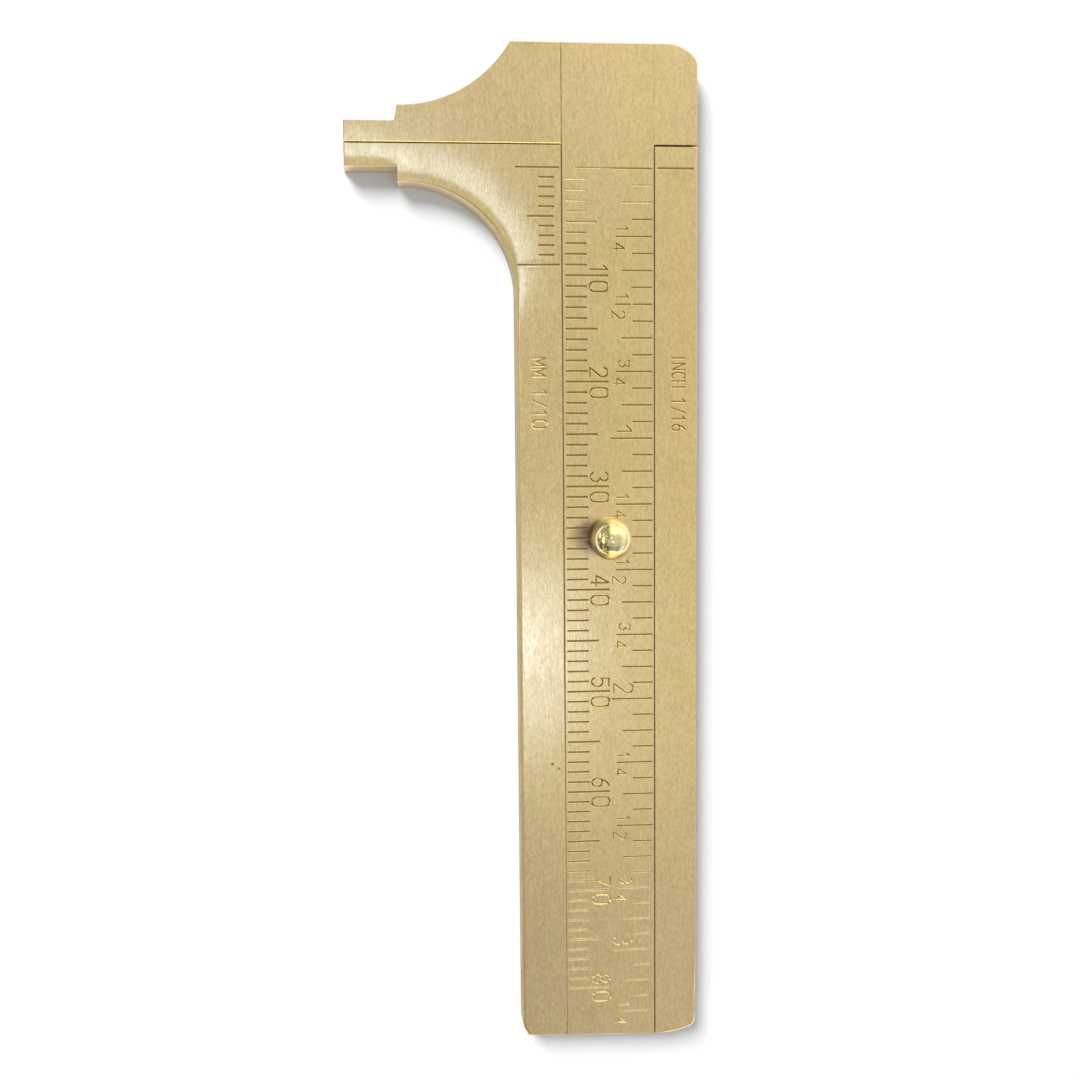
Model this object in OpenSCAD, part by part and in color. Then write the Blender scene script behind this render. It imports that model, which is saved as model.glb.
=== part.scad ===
// Pocket sliding gauge in brass, 80 mm and 3 1/4 inch.
// It lies on its back: +Z is the engraved face, +Y points to the sliding head, +X to the inch side.
// The origin is the middle of the outline, on the back face. Millimetres.
// Layout inside: x = 0 is the seam on the millimetre side, y = 0 is the zero line.

/* [Body] */
// Width of the rail that carries the fixed jaw
left_rail_w = 4.55; // [4.4:0.05:6]
// Width of the scale bar, from seam to seam
scale_w = 8.8; // [8.4:0.1:11]
// Width of the rail on the inch side
right_rail_w = 4.15; // [3.8:0.05:6]
// Thickness of frame and head
body_t = 2.4; // [2.3:0.05:3]
// Thickness of the two back plates
plate_t = 0.8; // [0.7:0.05:0.9]
// Distance from the zero line to the tail end
tail_l = 85.1; // [84.6:0.1:95]
// Distance from the zero line to the measuring faces
face_y = 2.1; // [1.6:0.1:4]
// Height of the sliding head above the measuring faces
head_h = 9.35; // [9:0.05:11]

/* [Jaws] */
// Reach of the jaws beyond the side of the body
jaw_reach = 15.7; // [15.2:0.1:20]
// Length of the stepped tip of each jaw
tip_l = 4.95; // [3:0.05:5]
// Height of each tip
tip_h = 2.05; // [1.5:0.05:2.6]
// Height of each jaw arm behind the tip
arm_h = 3.4; // [3:0.05:4]
// Radius of the curve under the fixed jaw
lower_r = 10.5; // [9:0.1:10.5]
// Radius of the curve above the sliding jaw
upper_r = 12.2; // [11.8:0.1:13]
// Gap that is left between the closed measuring faces
jaw_gap = 0.02; // [0.01:0.01:0.05]

/* [Slide] */
// Width of the seam on each side of the sliding bar
seam = 0.12; // [0.08:0.01:0.2]
// How much the dovetail spreads on each side, face to foot
spread = 0.7; // [0.5:0.05:0.9]
// Clearance planed under the sliding length of the bar
relief = 0.1; // [0.05:0.01:0.2]
// Travel of the slide
travel = 80; // [60:1:80]
// Diameter of the stop pin
stop_d = 1; // [0.8:0.1:1.1]
// Thickness of the friction spring
spring_t = 0.12; // [0.1:0.01:0.15]

/* [Knob] */
// Diameter of the ball of the knob
knob_d = 4; // [3:0.1:5]
// Height of the middle of the ball above the face
knob_rise = 1.6; // [1.5:0.05:2]
// Diameter of the neck under the ball
neck_d = 2; // [1.8:0.1:2.2]
// Diameter of the riveted shank of the knob
shank_d = 1.4; // [1:0.1:1.5]
// Millimetre mark at which the knob sits
knob_mark = 35; // [25:1:45]

/* [Rivets] */
// Diameter of the rivet shanks
rivet_d = 1.2; // [1:0.1:1.3]
// Diameter of the flush countersunk rivet heads
rivet_head_d = 1.9; // [1.5:0.1:2]
// Length of the rivets, which end blind below the face
rivet_l = 1.7; // [1.3:0.1:1.8]

/* [Scales] */
// Length of the millimetre scale
mm_marks = 80; // [60:1:80]
// Number of sixteenths on the inch scale
inch_marks = 52; // [40:1:52]
// Width of an engraved line
mark_w = 0.12; // [0.08:0.01:0.16]
// Depth of an engraved line
mark_depth = 0.08; // [0.05:0.01:0.1]

/* [Hidden] */
$fn = 64;

left_x = -left_rail_w;             // side of the body on the jaw side
right_x = scale_w + right_rail_w;  // side of the body on the inch side
tip_x = left_x - jaw_reach;        // end of the jaws
step_x = tip_x + tip_l;            // step between tip and arm
top_y = face_y + head_h;           // top edge of the head
head_y = face_y + jaw_gap;         // lower edge of the head
foot = relief + plate_t;           // underside of the sliding length
slope = spread / (body_t - plate_t);
middle_x = scale_w / 2;
// The origin of the part is the middle of its outline.
shift_x = -(tip_x + right_x) / 2;
shift_y = -(top_y - tail_l) / 2;

brass_face = [0.78, 0.69, 0.48];
brass_back = [0.70, 0.60, 0.40];
brass_pin = [0.85, 0.74, 0.50];
bronze = [0.62, 0.45, 0.27];

function arc(c, r, a0, a1, n) =
    [for (i = [0:n]) let (a = a0 + (a1 - a0) * i / n)
        [c[0] + r * cos(a), c[1] + r * sin(a)]];

// The curve under the fixed jaw runs tangent into the side of the body.
lower_c = [left_x - lower_r, face_y - arm_h - lower_r];
// The curve above the sliding jaw ends at the corner of the head.
upper_c = [step_x + 0.26, face_y + arm_h + 0.08 + upper_r];
upper_end = -asin((upper_c[1] - top_y) / upper_r);

module placed() translate([shift_x, shift_y, 0]) children();

// Outline of the frame, with the fixed jaw, below the measuring faces
module frame_outline() polygon(concat(
    [[right_x, face_y], [tip_x, face_y], [tip_x, face_y - tip_h],
     [step_x, face_y - tip_h], [step_x, face_y - arm_h]],
    arc(lower_c, lower_r, 90, 0, 40),
    [[left_x, 1.35 - tail_l], [left_x + 0.12, 0.7 - tail_l],
     [left_x + 0.5, -tail_l], [right_x - 2.9, -tail_l],
     [right_x - 1.9, 0.17 - tail_l], [right_x - 0.7, 0.55 - tail_l],
     [right_x - 0.2, 0.85 - tail_l], [right_x, 1.5 - tail_l]]));

// Outline of the head, with the sliding jaw, above the measuring faces
module head_outline() polygon(concat(
    [[tip_x, head_y], [right_x, head_y], [right_x, top_y - 1.75],
     [right_x - 0.22, top_y - 1.15], [right_x - 0.75, top_y - 0.7],
     [right_x - 1.5, top_y - 0.24], [right_x - 2.4, top_y]],
    arc(upper_c, upper_r, upper_end, -90, 40),
    [[step_x + 0.12, face_y + arm_h + 0.08],
     [step_x - 0.14, face_y + tip_h], [tip_x, face_y + tip_h]]));

// Section of a rail or cheek left of the channel; off is the gap to the seam's middle line
module left_side(off) rotate([90, 0, 0]) translate([0, 0, -60])
    linear_extrude(200) polygon([
        [-30, plate_t], [off - spread, plate_t],
        [off, body_t], [-30, body_t]]);

// The same, mirrored about the middle of the scale bar
module right_side(off) translate([2 * middle_x, 0, 0])
    mirror([1, 0, 0]) left_side(off);

// A blind rivet with a flush countersunk head on the back
module rivet(p) translate([p[0], p[1], 0]) {
    cylinder(d = rivet_d, h = rivet_l);
    cylinder(d1 = rivet_head_d, d2 = rivet_d, h = 0.35);
}

// Rivet places
rail_rivets_l = [[-2.65, -14], [-2.65, -37], [-2.65, -60], [-2.65, 4 - tail_l],
                 [tip_x + 8.3, face_y - 1.9], [-5.4, face_y - 3.2]];
rail_rivets_r = [[right_x - 1.7, -3], [right_x - 1.7, -30],
                 [right_x - 1.7, -57], [right_x - 1.7, 4 - tail_l]];
head_rivets_l = [[tip_x + 8.3, face_y + 1.9], [-2.9, face_y + 2.6],
                 [-2.9, top_y - 2.1]];
head_rivets_r = [[right_x - 1.7, face_y + 2.4], [right_x - 1.7, top_y - 3]];
head_rivets_c = [[middle_x, face_y + 2.6], [middle_x, top_y - 2.1]];

// Engraved line from x0 to x1 at height y
module mark(x0, x1, y) translate([x0, y - mark_w / 2, body_t - mark_depth])
    cube([x1 - x0, mark_w, 1]);

// Length of the line at a millimetre mark, and at a sixteenth of an inch
function mm_len(i) = i % 10 == 0 ? 4.05 : i % 5 == 0 ? 3.1 : 2.2;
function inch_len(i) = i % 16 == 0 ? 4.1 : i % 4 == 0 ? 3.6 : i % 2 == 0 ? 2.9 : 2;

// The stop pin stands in the frame, just under the measuring faces.
stop_p = [2.3, face_y - 3.5];
// Pocket for the friction spring, at the tail of the bar
pocket_x = middle_x - 0.2;
pocket_y = 0.8 - tail_l;
pocket_l = 6.1;
pocket_w = 2.6;
pocket_top = foot + 0.45;
spring_w = 2.2;
root_p = [pocket_x + pocket_w / 2, pocket_y + 0.95];

module frame_back_plate() color(brass_back) placed() difference() {
    linear_extrude(plate_t) frame_outline();
    for (p = concat(rail_rivets_l, rail_rivets_r)) rivet(p);
    translate([stop_p[0], stop_p[1], -1]) cylinder(d = stop_d, h = 3);
}

module fixed_jaw_rail() color(brass_face) placed() difference() {
    intersection() {
        linear_extrude(body_t) frame_outline();
        left_side(-seam / 2);
    }
    for (p = rail_rivets_l) rivet(p);
    // Vernier: ten parts on nine millimetres
    for (i = [0:10])
        if (i == 0) mark(left_x + 0.15, -0.2, 0);
        else if (i == 10) mark(left_x + 0.35, 0, -9);
        else if (i == 5) mark(-3.25, -0.85, -4.5);
        else mark(-2.1, -0.75, -0.9 * i);
}

module index_rail() color(brass_face) placed() difference() {
    intersection() {
        linear_extrude(body_t) frame_outline();
        right_side(-seam / 2);
    }
    for (p = rail_rivets_r) rivet(p);
    mark(scale_w + 0.3, right_x - 0.2, 0);
}

module frame_rivets() color(brass_pin) placed()
    for (p = concat(rail_rivets_l, rail_rivets_r)) rivet(p);

module stop_pin() color(brass_pin) placed()
    translate([stop_p[0], stop_p[1], 0]) cylinder(d = stop_d, h = foot + 0.36);

// The bar fills the head's channel and slides in the frame's channel.
module scale_bar() color(brass_face) placed() difference() {
    translate([0, top_y, 0]) rotate([90, 0, 0])
        linear_extrude(top_y + tail_l) polygon([
            [seam / 2 - spread, plate_t],
            [scale_w - seam / 2 + spread, plate_t],
            [scale_w - seam / 2, body_t], [seam / 2, body_t]]);
    // Underside relieved over the sliding length
    translate([-5, -tail_l - 5, 0]) cube([scale_w + 10, tail_l + 5 + head_y, foot]);
    // Groove that runs over the stop pin
    translate([stop_p[0] - stop_d / 2 - 0.2, stop_p[1] - travel - stop_d / 2 - 0.1, 0])
        cube([stop_d + 0.4, travel + stop_d + 0.3, foot + 0.46]);
    // Pocket and rivet hole of the friction spring
    translate([pocket_x, pocket_y, 0]) cube([pocket_w, pocket_l, pocket_top]);
    translate([root_p[0], root_p[1], pocket_top - 0.3]) cylinder(d = 0.7, h = 0.8);
    // Hole of the knob's shank, countersunk from below
    translate([middle_x, -knob_mark, 0]) {
        cylinder(d = shank_d, h = 4);
        translate([0, 0, foot]) cylinder(d1 = shank_d + 0.8, d2 = shank_d, h = 0.4);
    }
    for (p = head_rivets_c) rivet(p);
    // Millimetre scale
    for (i = [1:mm_marks]) mark(0.2, mm_len(i), -i);
    // Zero line of both scales
    mark(1.1, scale_w, 0);
    // Inch scale in sixteenths
    for (i = [1:inch_marks])
        mark(scale_w - inch_len(i), scale_w, -i * 25.4 / 16);
}

module sliding_jaw() color(brass_face) placed() difference() {
    intersection() {
        linear_extrude(body_t) head_outline();
        left_side(seam / 2);
    }
    for (p = head_rivets_l) rivet(p);
}

module head_cheek() color(brass_face) placed() difference() {
    intersection() {
        linear_extrude(body_t) head_outline();
        right_side(seam / 2);
    }
    for (p = head_rivets_r) rivet(p);
}

module head_back_plate() color(brass_back) placed() difference() {
    linear_extrude(plate_t) head_outline();
    for (p = concat(head_rivets_l, head_rivets_r, head_rivets_c)) rivet(p);
}

module head_rivets() color(brass_pin) placed()
    for (p = concat(head_rivets_l, head_rivets_r, head_rivets_c)) rivet(p);

// Ball knob turned with its neck and shank; the shank is riveted under the bar.
module thumb_knob() color(brass_pin) placed()
    translate([middle_x, -knob_mark, 0]) {
        c = body_t + knob_rise;
        top = c + knob_d / 2 - 0.116;  // small flat on top of the ball
        difference() {
            translate([0, 0, c]) sphere(d = knob_d, $fn = 96);
            translate([-5, -5, top]) cube([10, 10, 5]);
        }
        translate([0, 0, body_t]) cylinder(d = neck_d, h = knob_rise);
        translate([0, 0, body_t]) cylinder(d1 = neck_d + 0.4, d2 = neck_d, h = 0.2);
        translate([0, 0, foot]) cylinder(d = shank_d, h = body_t - foot);
        translate([0, 0, foot]) cylinder(d1 = shank_d + 0.8, d2 = shank_d, h = 0.4);
    }

// Bowed leaf that presses on the frame's back plate
function bow(t) = t < 0.3 ? 0 : t < 0.68 ?
    (1 - cos(180 * (t - 0.3) / 0.38)) / 2 : 1 - 0.35 * (t - 0.68) / 0.32;
module friction_spring() color(bronze) placed() {
    n = 24;
    lo = plate_t + 0.04;
    hi = pocket_top - spring_t;
    l = pocket_l - 0.4;
    difference() {
        translate([root_p[0] - spring_w / 2, pocket_y + 0.2, 0])
            rotate([90, 0, 90]) linear_extrude(spring_w) polygon(concat(
                [for (i = [0:n]) [l * i / n, hi + (lo - hi) * bow(i / n)]],
                [for (i = [n:-1:0])
                    [l * i / n, hi + (lo - hi) * bow(i / n) + spring_t]]));
        translate([root_p[0], root_p[1], 0]) cylinder(d = 0.7, h = 3);
    }
}

module spring_rivet() color(brass_pin) placed()
    translate([root_p[0], root_p[1], pocket_top - spring_t]) {
        cylinder(d = 0.7, h = spring_t + 0.5);
        translate([0, 0, -0.14]) cylinder(d = 1.3, h = 0.14);
    }

frame_back_plate();
fixed_jaw_rail();
index_rail();
frame_rivets();
stop_pin();
scale_bar();
sliding_jaw();
head_cheek();
head_back_plate();
head_rivets();
thumb_knob();
friction_spring();
spring_rivet();
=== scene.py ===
import math

import bpy
import numpy as np
from mathutils import Matrix, Vector
from mathutils.geometry import delaunay_2d_cdt


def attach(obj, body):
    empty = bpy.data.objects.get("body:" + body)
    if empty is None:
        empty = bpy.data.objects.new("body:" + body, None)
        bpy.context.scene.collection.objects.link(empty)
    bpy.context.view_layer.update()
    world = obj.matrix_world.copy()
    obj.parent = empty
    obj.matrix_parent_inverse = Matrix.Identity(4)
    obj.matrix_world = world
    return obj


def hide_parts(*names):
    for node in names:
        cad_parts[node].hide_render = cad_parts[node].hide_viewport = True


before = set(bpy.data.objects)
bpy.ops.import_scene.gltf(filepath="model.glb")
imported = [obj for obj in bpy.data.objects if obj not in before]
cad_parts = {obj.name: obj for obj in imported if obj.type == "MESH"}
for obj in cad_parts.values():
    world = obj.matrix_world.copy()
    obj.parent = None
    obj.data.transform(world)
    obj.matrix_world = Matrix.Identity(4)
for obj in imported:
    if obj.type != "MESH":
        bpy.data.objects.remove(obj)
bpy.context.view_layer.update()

# ----------------------------------------------------------------------------
# Sizes in millimetres, in the layout of the part: x = 0 is the seam on the
# millimetre side, y = 0 is the zero line, z = 0 is the back face.
# ----------------------------------------------------------------------------
LEFT_W, SCALE_W, RIGHT_W = 4.55, 8.8, 4.15
BODY_T, PLATE_T = 2.4, 0.8
TAIL, FACE_Y, HEAD_H = 85.1, 2.1, 9.35
REACH, TIP_L, TIP_H, ARM_H = 15.7, 4.85, 2.05, 3.4
LOWER_R, UPPER_R = 10.5, 12.2
GAP, SEAM, SPREAD, RELIEF = 0.075, 0.036, 0.7, 0.1
TRAVEL, STOP_D = 80.0, 1.0

LEFT_X = -LEFT_W
RIGHT_X = SCALE_W + RIGHT_W
TIP_X = LEFT_X - REACH
STEP_X = TIP_X + TIP_L
TOP_Y = FACE_Y + HEAD_H
HEAD_Y = FACE_Y + GAP
FOOT = RELIEF + PLATE_T
MIDDLE = SCALE_W / 2
SHIFT = np.array([-(TIP_X + RIGHT_X) / 2, -(TOP_Y - TAIL) / 2, 0.0])
CX, CY = LEFT_X - LOWER_R, FACE_Y - ARM_H - LOWER_R
UX, UY = STEP_X + 0.26, FACE_Y + ARM_H + 0.08 + UPPER_R
U_END = -math.asin((UY - TOP_Y) / UPPER_R)

KNOB_Y, KNOB_D, KNOB_RISE, NECK_D, SHANK_D = -35.0, 4.0, 1.6, 2.0, 1.4
STOP_P = (2.3, FACE_Y - 3.5)
POCKET_X, POCKET_Y, POCKET_L, POCKET_W = MIDDLE - 0.2, 0.8 - TAIL, 6.1, 2.6
POCKET_TOP = FOOT + 0.45
SPRING_T, SPRING_W = 0.12, 2.2
ROOT = (POCKET_X + POCKET_W / 2, POCKET_Y + 0.95)

RIVETS_L = [(-2.65, -14), (-2.65, -37), (-2.65, -60), (-2.65, 4 - TAIL),
            (TIP_X + 8.3, FACE_Y - 1.9), (-5.4, FACE_Y - 3.2)]
RIVETS_R = [(RIGHT_X - 1.7, y) for y in (-3, -30, -57, 4 - TAIL)]
HEAD_L = [(TIP_X + 8.3, FACE_Y + 1.9), (-2.9, FACE_Y + 2.6), (-2.9, TOP_Y - 2.1)]
HEAD_R = [(RIGHT_X - 1.7, FACE_Y + 2.4), (RIGHT_X - 1.7, TOP_Y - 3)]
HEAD_C = [(MIDDLE, FACE_Y + 2.6), (MIDDLE, TOP_Y - 2.1)]
RIVET_R, RIVET_HEAD_R, RIVET_L = 0.6, 0.95, 1.7


def smooth(t):
    t = np.clip(t, 0.0, 1.0)
    return t * t * (3 - 2 * t)


# ----------------------------------------------------------------------------
# Plane geometry
# ----------------------------------------------------------------------------
def arc_points(cx, cy, rx, ry, a0, a1, n):
    """n + 1 points along an ellipse from a0 to a1 degrees"""
    a = np.radians(np.linspace(a0, a1, n + 1))
    return [(cx + rx * math.cos(t), cy + ry * math.sin(t)) for t in a]


class Outline:
    """A closed outline, counterclockwise, with a tag on each edge"""

    def __init__(self, start):
        self.pts, self.tags = [start], []

    def to(self, point, tag, step=0.9):
        x0, y0 = self.pts[-1]
        n = max(1, int(math.ceil(math.hypot(point[0] - x0, point[1] - y0) / step)))
        for i in range(1, n + 1):
            t = i / n
            self.pts.append((x0 + (point[0] - x0) * t, y0 + (point[1] - y0) * t))
            self.tags.append(tag)
        return self

    def along(self, points, tag):
        for p in points:
            self.pts.append(p)
            self.tags.append(tag)
        return self

    def close(self):
        """The last point must be the first one."""
        assert math.dist(self.pts[0], self.pts[-1]) < 1e-9
        self.pts.pop()
        return np.array(self.pts, float), list(self.tags)


def round_corner(points, steps=2):
    """Cuts the inner corners of an open run of points, keeping its ends"""
    p = [np.array(q, float) for q in points]
    for _ in range(steps):
        q = [p[0]]
        for i in range(len(p) - 1):
            q.append(p[i] * 0.75 + p[i + 1] * 0.25)
            q.append(p[i] * 0.25 + p[i + 1] * 0.75)
        q.append(p[-1])
        p = q
    out = [p[0]]
    for q in p[1:]:
        if np.linalg.norm(q - out[-1]) > 0.06:
            out.append(q)
    if np.linalg.norm(out[-1] - p[-1]) > 1e-9:
        out[-1] = p[-1]
    return [tuple(q) for q in out]


def frame_left(seam_x, step=0.9):
    """Outline of the fixed jaw with the left rail; seam_x is its right side."""
    o = Outline((seam_x, FACE_Y))
    o.to((TIP_X, FACE_Y), "cut", 0.6).to((TIP_X, FACE_Y - TIP_H), "tip_end", 0.3)
    o.to((STEP_X, FACE_Y - TIP_H), "tip_bottom", 0.3)
    o.to((STEP_X, FACE_Y - ARM_H), "step", 0.2)
    o.along([(CX, FACE_Y - ARM_H)], "curve")
    o.along(arc_points(CX, CY, LOWER_R, LOWER_R, 90, 0, 64)[1:], "curve")
    o.to((LEFT_X, 1.35 - TAIL), "side", step)
    o.along(round_corner([(LEFT_X, 1.35 - TAIL), (LEFT_X + 0.12, 0.7 - TAIL),
                          (LEFT_X + 0.5, -TAIL)])[1:], "corner")
    return o


def frame_right_run():
    """The run of points round the tail corner on the inch side"""
    return round_corner([(RIGHT_X - 2.9, -TAIL), (RIGHT_X - 1.9, 0.17 - TAIL),
                         (RIGHT_X - 0.7, 0.55 - TAIL), (RIGHT_X - 0.2, 0.85 - TAIL),
                         (RIGHT_X, 1.5 - TAIL)])


def head_right_run():
    """The run of points round the top corner of the head"""
    return round_corner([(RIGHT_X, TOP_Y - 1.75), (RIGHT_X - 0.22, TOP_Y - 1.15),
                         (RIGHT_X - 0.75, TOP_Y - 0.7), (RIGHT_X - 1.5, TOP_Y - 0.24),
                         (RIGHT_X - 2.4, TOP_Y)])


def head_left_run(o):
    """From the top edge down the upper curve to the tip and its end"""
    o.along(arc_points(UX, UY, UPPER_R, UPPER_R, math.degrees(U_END), -90, 48)[1:], "upper")
    o.along([(STEP_X + 0.12, FACE_Y + ARM_H + 0.08)], "upper")
    o.to((STEP_X - 0.14, FACE_Y + TIP_H), "step_up", 0.25)
    o.to((TIP_X, FACE_Y + TIP_H), "tip_top", 0.4).to((TIP_X, HEAD_Y), "tip_end", 0.3)
    return o


def shape_fixed_jaw():
    o = frame_left(-SEAM / 2)
    o.to((-SEAM / 2, -TAIL), "tail").to((-SEAM / 2, FACE_Y), "seam")
    return o.close()


def shape_index_rail():
    x = SCALE_W + SEAM / 2
    top = FACE_Y - 0.05
    o = Outline((RIGHT_X, top)).to((x, top), "cut").to((x, -TAIL), "seam")
    run = frame_right_run()
    o.to(run[0], "tail").along(run[1:], "corner").to((RIGHT_X, top), "side_r")
    return o.close()


def shape_sliding_jaw():
    o = Outline((SEAM / 2, HEAD_Y)).to((SEAM / 2, TOP_Y), "seam_head")
    o.to((UX + UPPER_R * math.cos(U_END), TOP_Y), "top")
    return head_left_run(o).to((SEAM / 2, HEAD_Y), "cut", 0.6).close()


def shape_head_cheek():
    x = SCALE_W - SEAM / 2
    run = head_right_run()
    o = Outline((x, HEAD_Y)).to((RIGHT_X, HEAD_Y), "cut").to(run[0], "side_r")
    o.along(run[1:], "corner").to((x, TOP_Y), "top").to((x, HEAD_Y), "seam_head")
    return o.close()


def shape_bar():
    a, b = SEAM / 2, SCALE_W - SEAM / 2
    o = Outline((a, HEAD_Y)).to((a, -TAIL), "seam").to((b, -TAIL), "tail")
    o.to((b, HEAD_Y), "seam").to((b, TOP_Y), "seam_head").to((a, TOP_Y), "top")
    return o.to((a, HEAD_Y), "seam_head").close()


def shape_frame_plate():
    run = frame_right_run()
    o = frame_left(RIGHT_X)
    o.to(run[0], "tail").along(run[1:], "corner").to((RIGHT_X, FACE_Y), "side_r")
    return o.close()


def shape_head_plate():
    run = head_right_run()
    o = Outline((RIGHT_X, HEAD_Y)).to(run[0], "side_r").along(run[1:], "corner")
    o.to((UX + UPPER_R * math.cos(U_END), TOP_Y), "top")
    return head_left_run(o).to((RIGHT_X, HEAD_Y), "cut", 0.6).close()


def lean(tag, m):
    """How far a wall stands inside the outline, at the face and at the back"""
    if tag == "side" or (tag == "corner" and m[0] < 0 and m[1] < 0):
        return 0.16, 0.0
    if tag == "curve":
        return 0.16 * smooth((m[0] - CX - 1.5) / (LOWER_R - 2.5)), 0.0
    if tag == "tip_end":
        return 0.0, -0.3
    if tag == "step_up":
        return 0.0, -0.14
    return 0.0, 0.0


def leaning(pts, tags, z):
    """The outline of the leaning walls at height z"""
    mid = (pts + np.roll(pts, -1, 0)) / 2
    k = z / BODY_T
    return inset(pts, np.array([a * k + b * (1 - k) for a, b in (lean(t, m) for t, m in zip(tags, mid))]))


def filed(pts):
    """The tail end isn't filed quite square"""
    p = pts.copy()
    share = smooth((3.0 - TAIL - p[:, 1]) / 3.0)
    p[:, 1] += share * (0.47 * (RIGHT_X - p[:, 0]) / (RIGHT_X - LEFT_X) - 0.03)
    return p


def taper(pts):
    """The left seam closes towards the tail"""
    p = pts.copy()
    at = np.abs(p[:, 0]) < SEAM / 2 + 1e-6
    p[at, 0] *= 1 - 0.72 * smooth((-p[at, 1] - 42) / 28)
    return p


# ----------------------------------------------------------------------------
# The face isn't quite flat: it rolls off towards the fixed jaw's lower outline.
# ----------------------------------------------------------------------------
ROLL_W, ROLL_T, EDGE_W, EDGE_T = 4.2, math.radians(4.4), 0.82, math.radians(8.5)


def tip_gap(x, y):
    return y - (FACE_Y - TIP_H)


def arm_gap(x, y):
    """How far inside the fixed jaw's lower outline a point lies, right of the tip"""
    arm = np.where(x <= CX, y - (FACE_Y - ARM_H),
                   np.where(y > CY, np.hypot(x - CX, y - CY) - LOWER_R, x - LEFT_X))
    return arm - 0.3 * smooth((x - CX - 1.5) / (LOWER_R - 2.5))


def contour_gap(x, y):
    s = smooth((x + 19.6) / 5.4)
    return tip_gap(x, y) * (1 - s) + arm_gap(x, y) * s


def roll_off(x, y):
    """How far the face lies below its full height"""
    x, y = np.asarray(x, float), np.asarray(y, float)
    d = contour_gap(x, y)
    drop = ROLL_T * ROLL_W / 2 * np.clip(1 - d / ROLL_W, 0, None) ** 2

    def edge(gap):
        s = np.clip((EDGE_W - gap) / 0.6, 0, None)
        return EDGE_T * 0.6 * np.where(s < 1, s ** 3 - s ** 4 / 2, s - 0.5)

    k = smooth((x + 16.9) / 1.7)
    drop += edge(tip_gap(x, y)) * (1 - k) + edge(arm_gap(x, y)) * k
    return drop * smooth((y + 15.5) / 9.0)


# ----------------------------------------------------------------------------
# Engraving: strokes with a V section
# ----------------------------------------------------------------------------
class Stroke:
    def __init__(self, pts, hw=0.075, depth=0.034, closed=False, ink=1.0):
        self.p, self.hw, self.depth, self.closed, self.ink = np.array(pts, float), hw, depth, closed, ink

    def segments(self):
        q = np.vstack([self.p, self.p[:1]]) if self.closed else self.p
        return q[:-1], q[1:]

    def outline(self):
        """Lists of runs of points: (points, closed, kind)"""
        p, n = self.p, len(self.p)
        if n == 1:
            ring = arc_points(p[0][0], p[0][1], self.hw, self.hw, 0, 360, 12)[:-1]
            return [(ring, True, "rim"), ([tuple(p[0])], False, "mid")]
        if self.closed:
            before, after = np.roll(p, 1, 0), np.roll(p, -1, 0)
        else:
            before = np.vstack([2 * p[0] - p[1], p[:-1]])
            after = np.vstack([p[1:], 2 * p[-1] - p[-2]])
        t1 = (p - before) / np.linalg.norm(p - before, axis=1)[:, None]
        t2 = (after - p) / np.linalg.norm(after - p, axis=1)[:, None]
        m = t1 + t2
        m /= np.linalg.norm(m, axis=1)[:, None]
        normal = np.stack([-m[:, 1], m[:, 0]], 1)
        stretch = 1 / np.clip((normal * np.stack([-t1[:, 1], t1[:, 0]], 1)).sum(1), 0.6, 1)
        left = p + normal * (self.hw * stretch)[:, None]
        right = p - normal * (self.hw * stretch)[:, None]
        if self.closed:
            return [(left, True, "rim"), (right, True, "rim"), (p, True, "mid")]
        cap = []
        for end, direction in ((p[-1], t2[-1]), (p[0], -t1[0])):
            a = math.degrees(math.atan2(direction[1], direction[0]))
            cap.append(arc_points(end[0], end[1], self.hw, self.hw, a + 90, a - 90, 4)[1:-1])
        ring = [*map(tuple, left), *cap[0], *map(tuple, right[::-1]), *cap[1]]
        return [(ring, True, "rim"), (p, False, "mid")]


def groove_depth(strokes, x, y):
    """(depth below the face, share of the stroke's own depth) at each point"""
    depth, share = np.zeros(len(x)), np.zeros(len(x))
    pts = np.stack([x, y], 1)
    for s in strokes:
        lo, hi = s.p.min(0) - s.hw, s.p.max(0) + s.hw
        near = np.nonzero(((pts >= lo) & (pts <= hi)).all(1))[0]
        if not len(near):
            continue
        q = pts[near]
        if len(s.p) == 1:
            dist = np.linalg.norm(q - s.p[0], axis=1)
        else:
            a, b = s.segments()
            ab = b - a
            t = ((q[:, None] - a) * ab).sum(2) / (ab * ab).sum(1)
            c = a + np.clip(t, 0, 1)[..., None] * ab
            dist = np.linalg.norm(q[:, None] - c, axis=2).min(1)
        k = np.clip(1 - dist / s.hw, 0, 1)
        k[k < 0.02] = 0
        depth[near] = np.maximum(depth[near], k * s.depth)
        share[near] = np.maximum(share[near], k * s.ink)
    return depth, share


def arcs(*parts):
    out = []
    for q in parts:
        out += q
    return out


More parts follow.
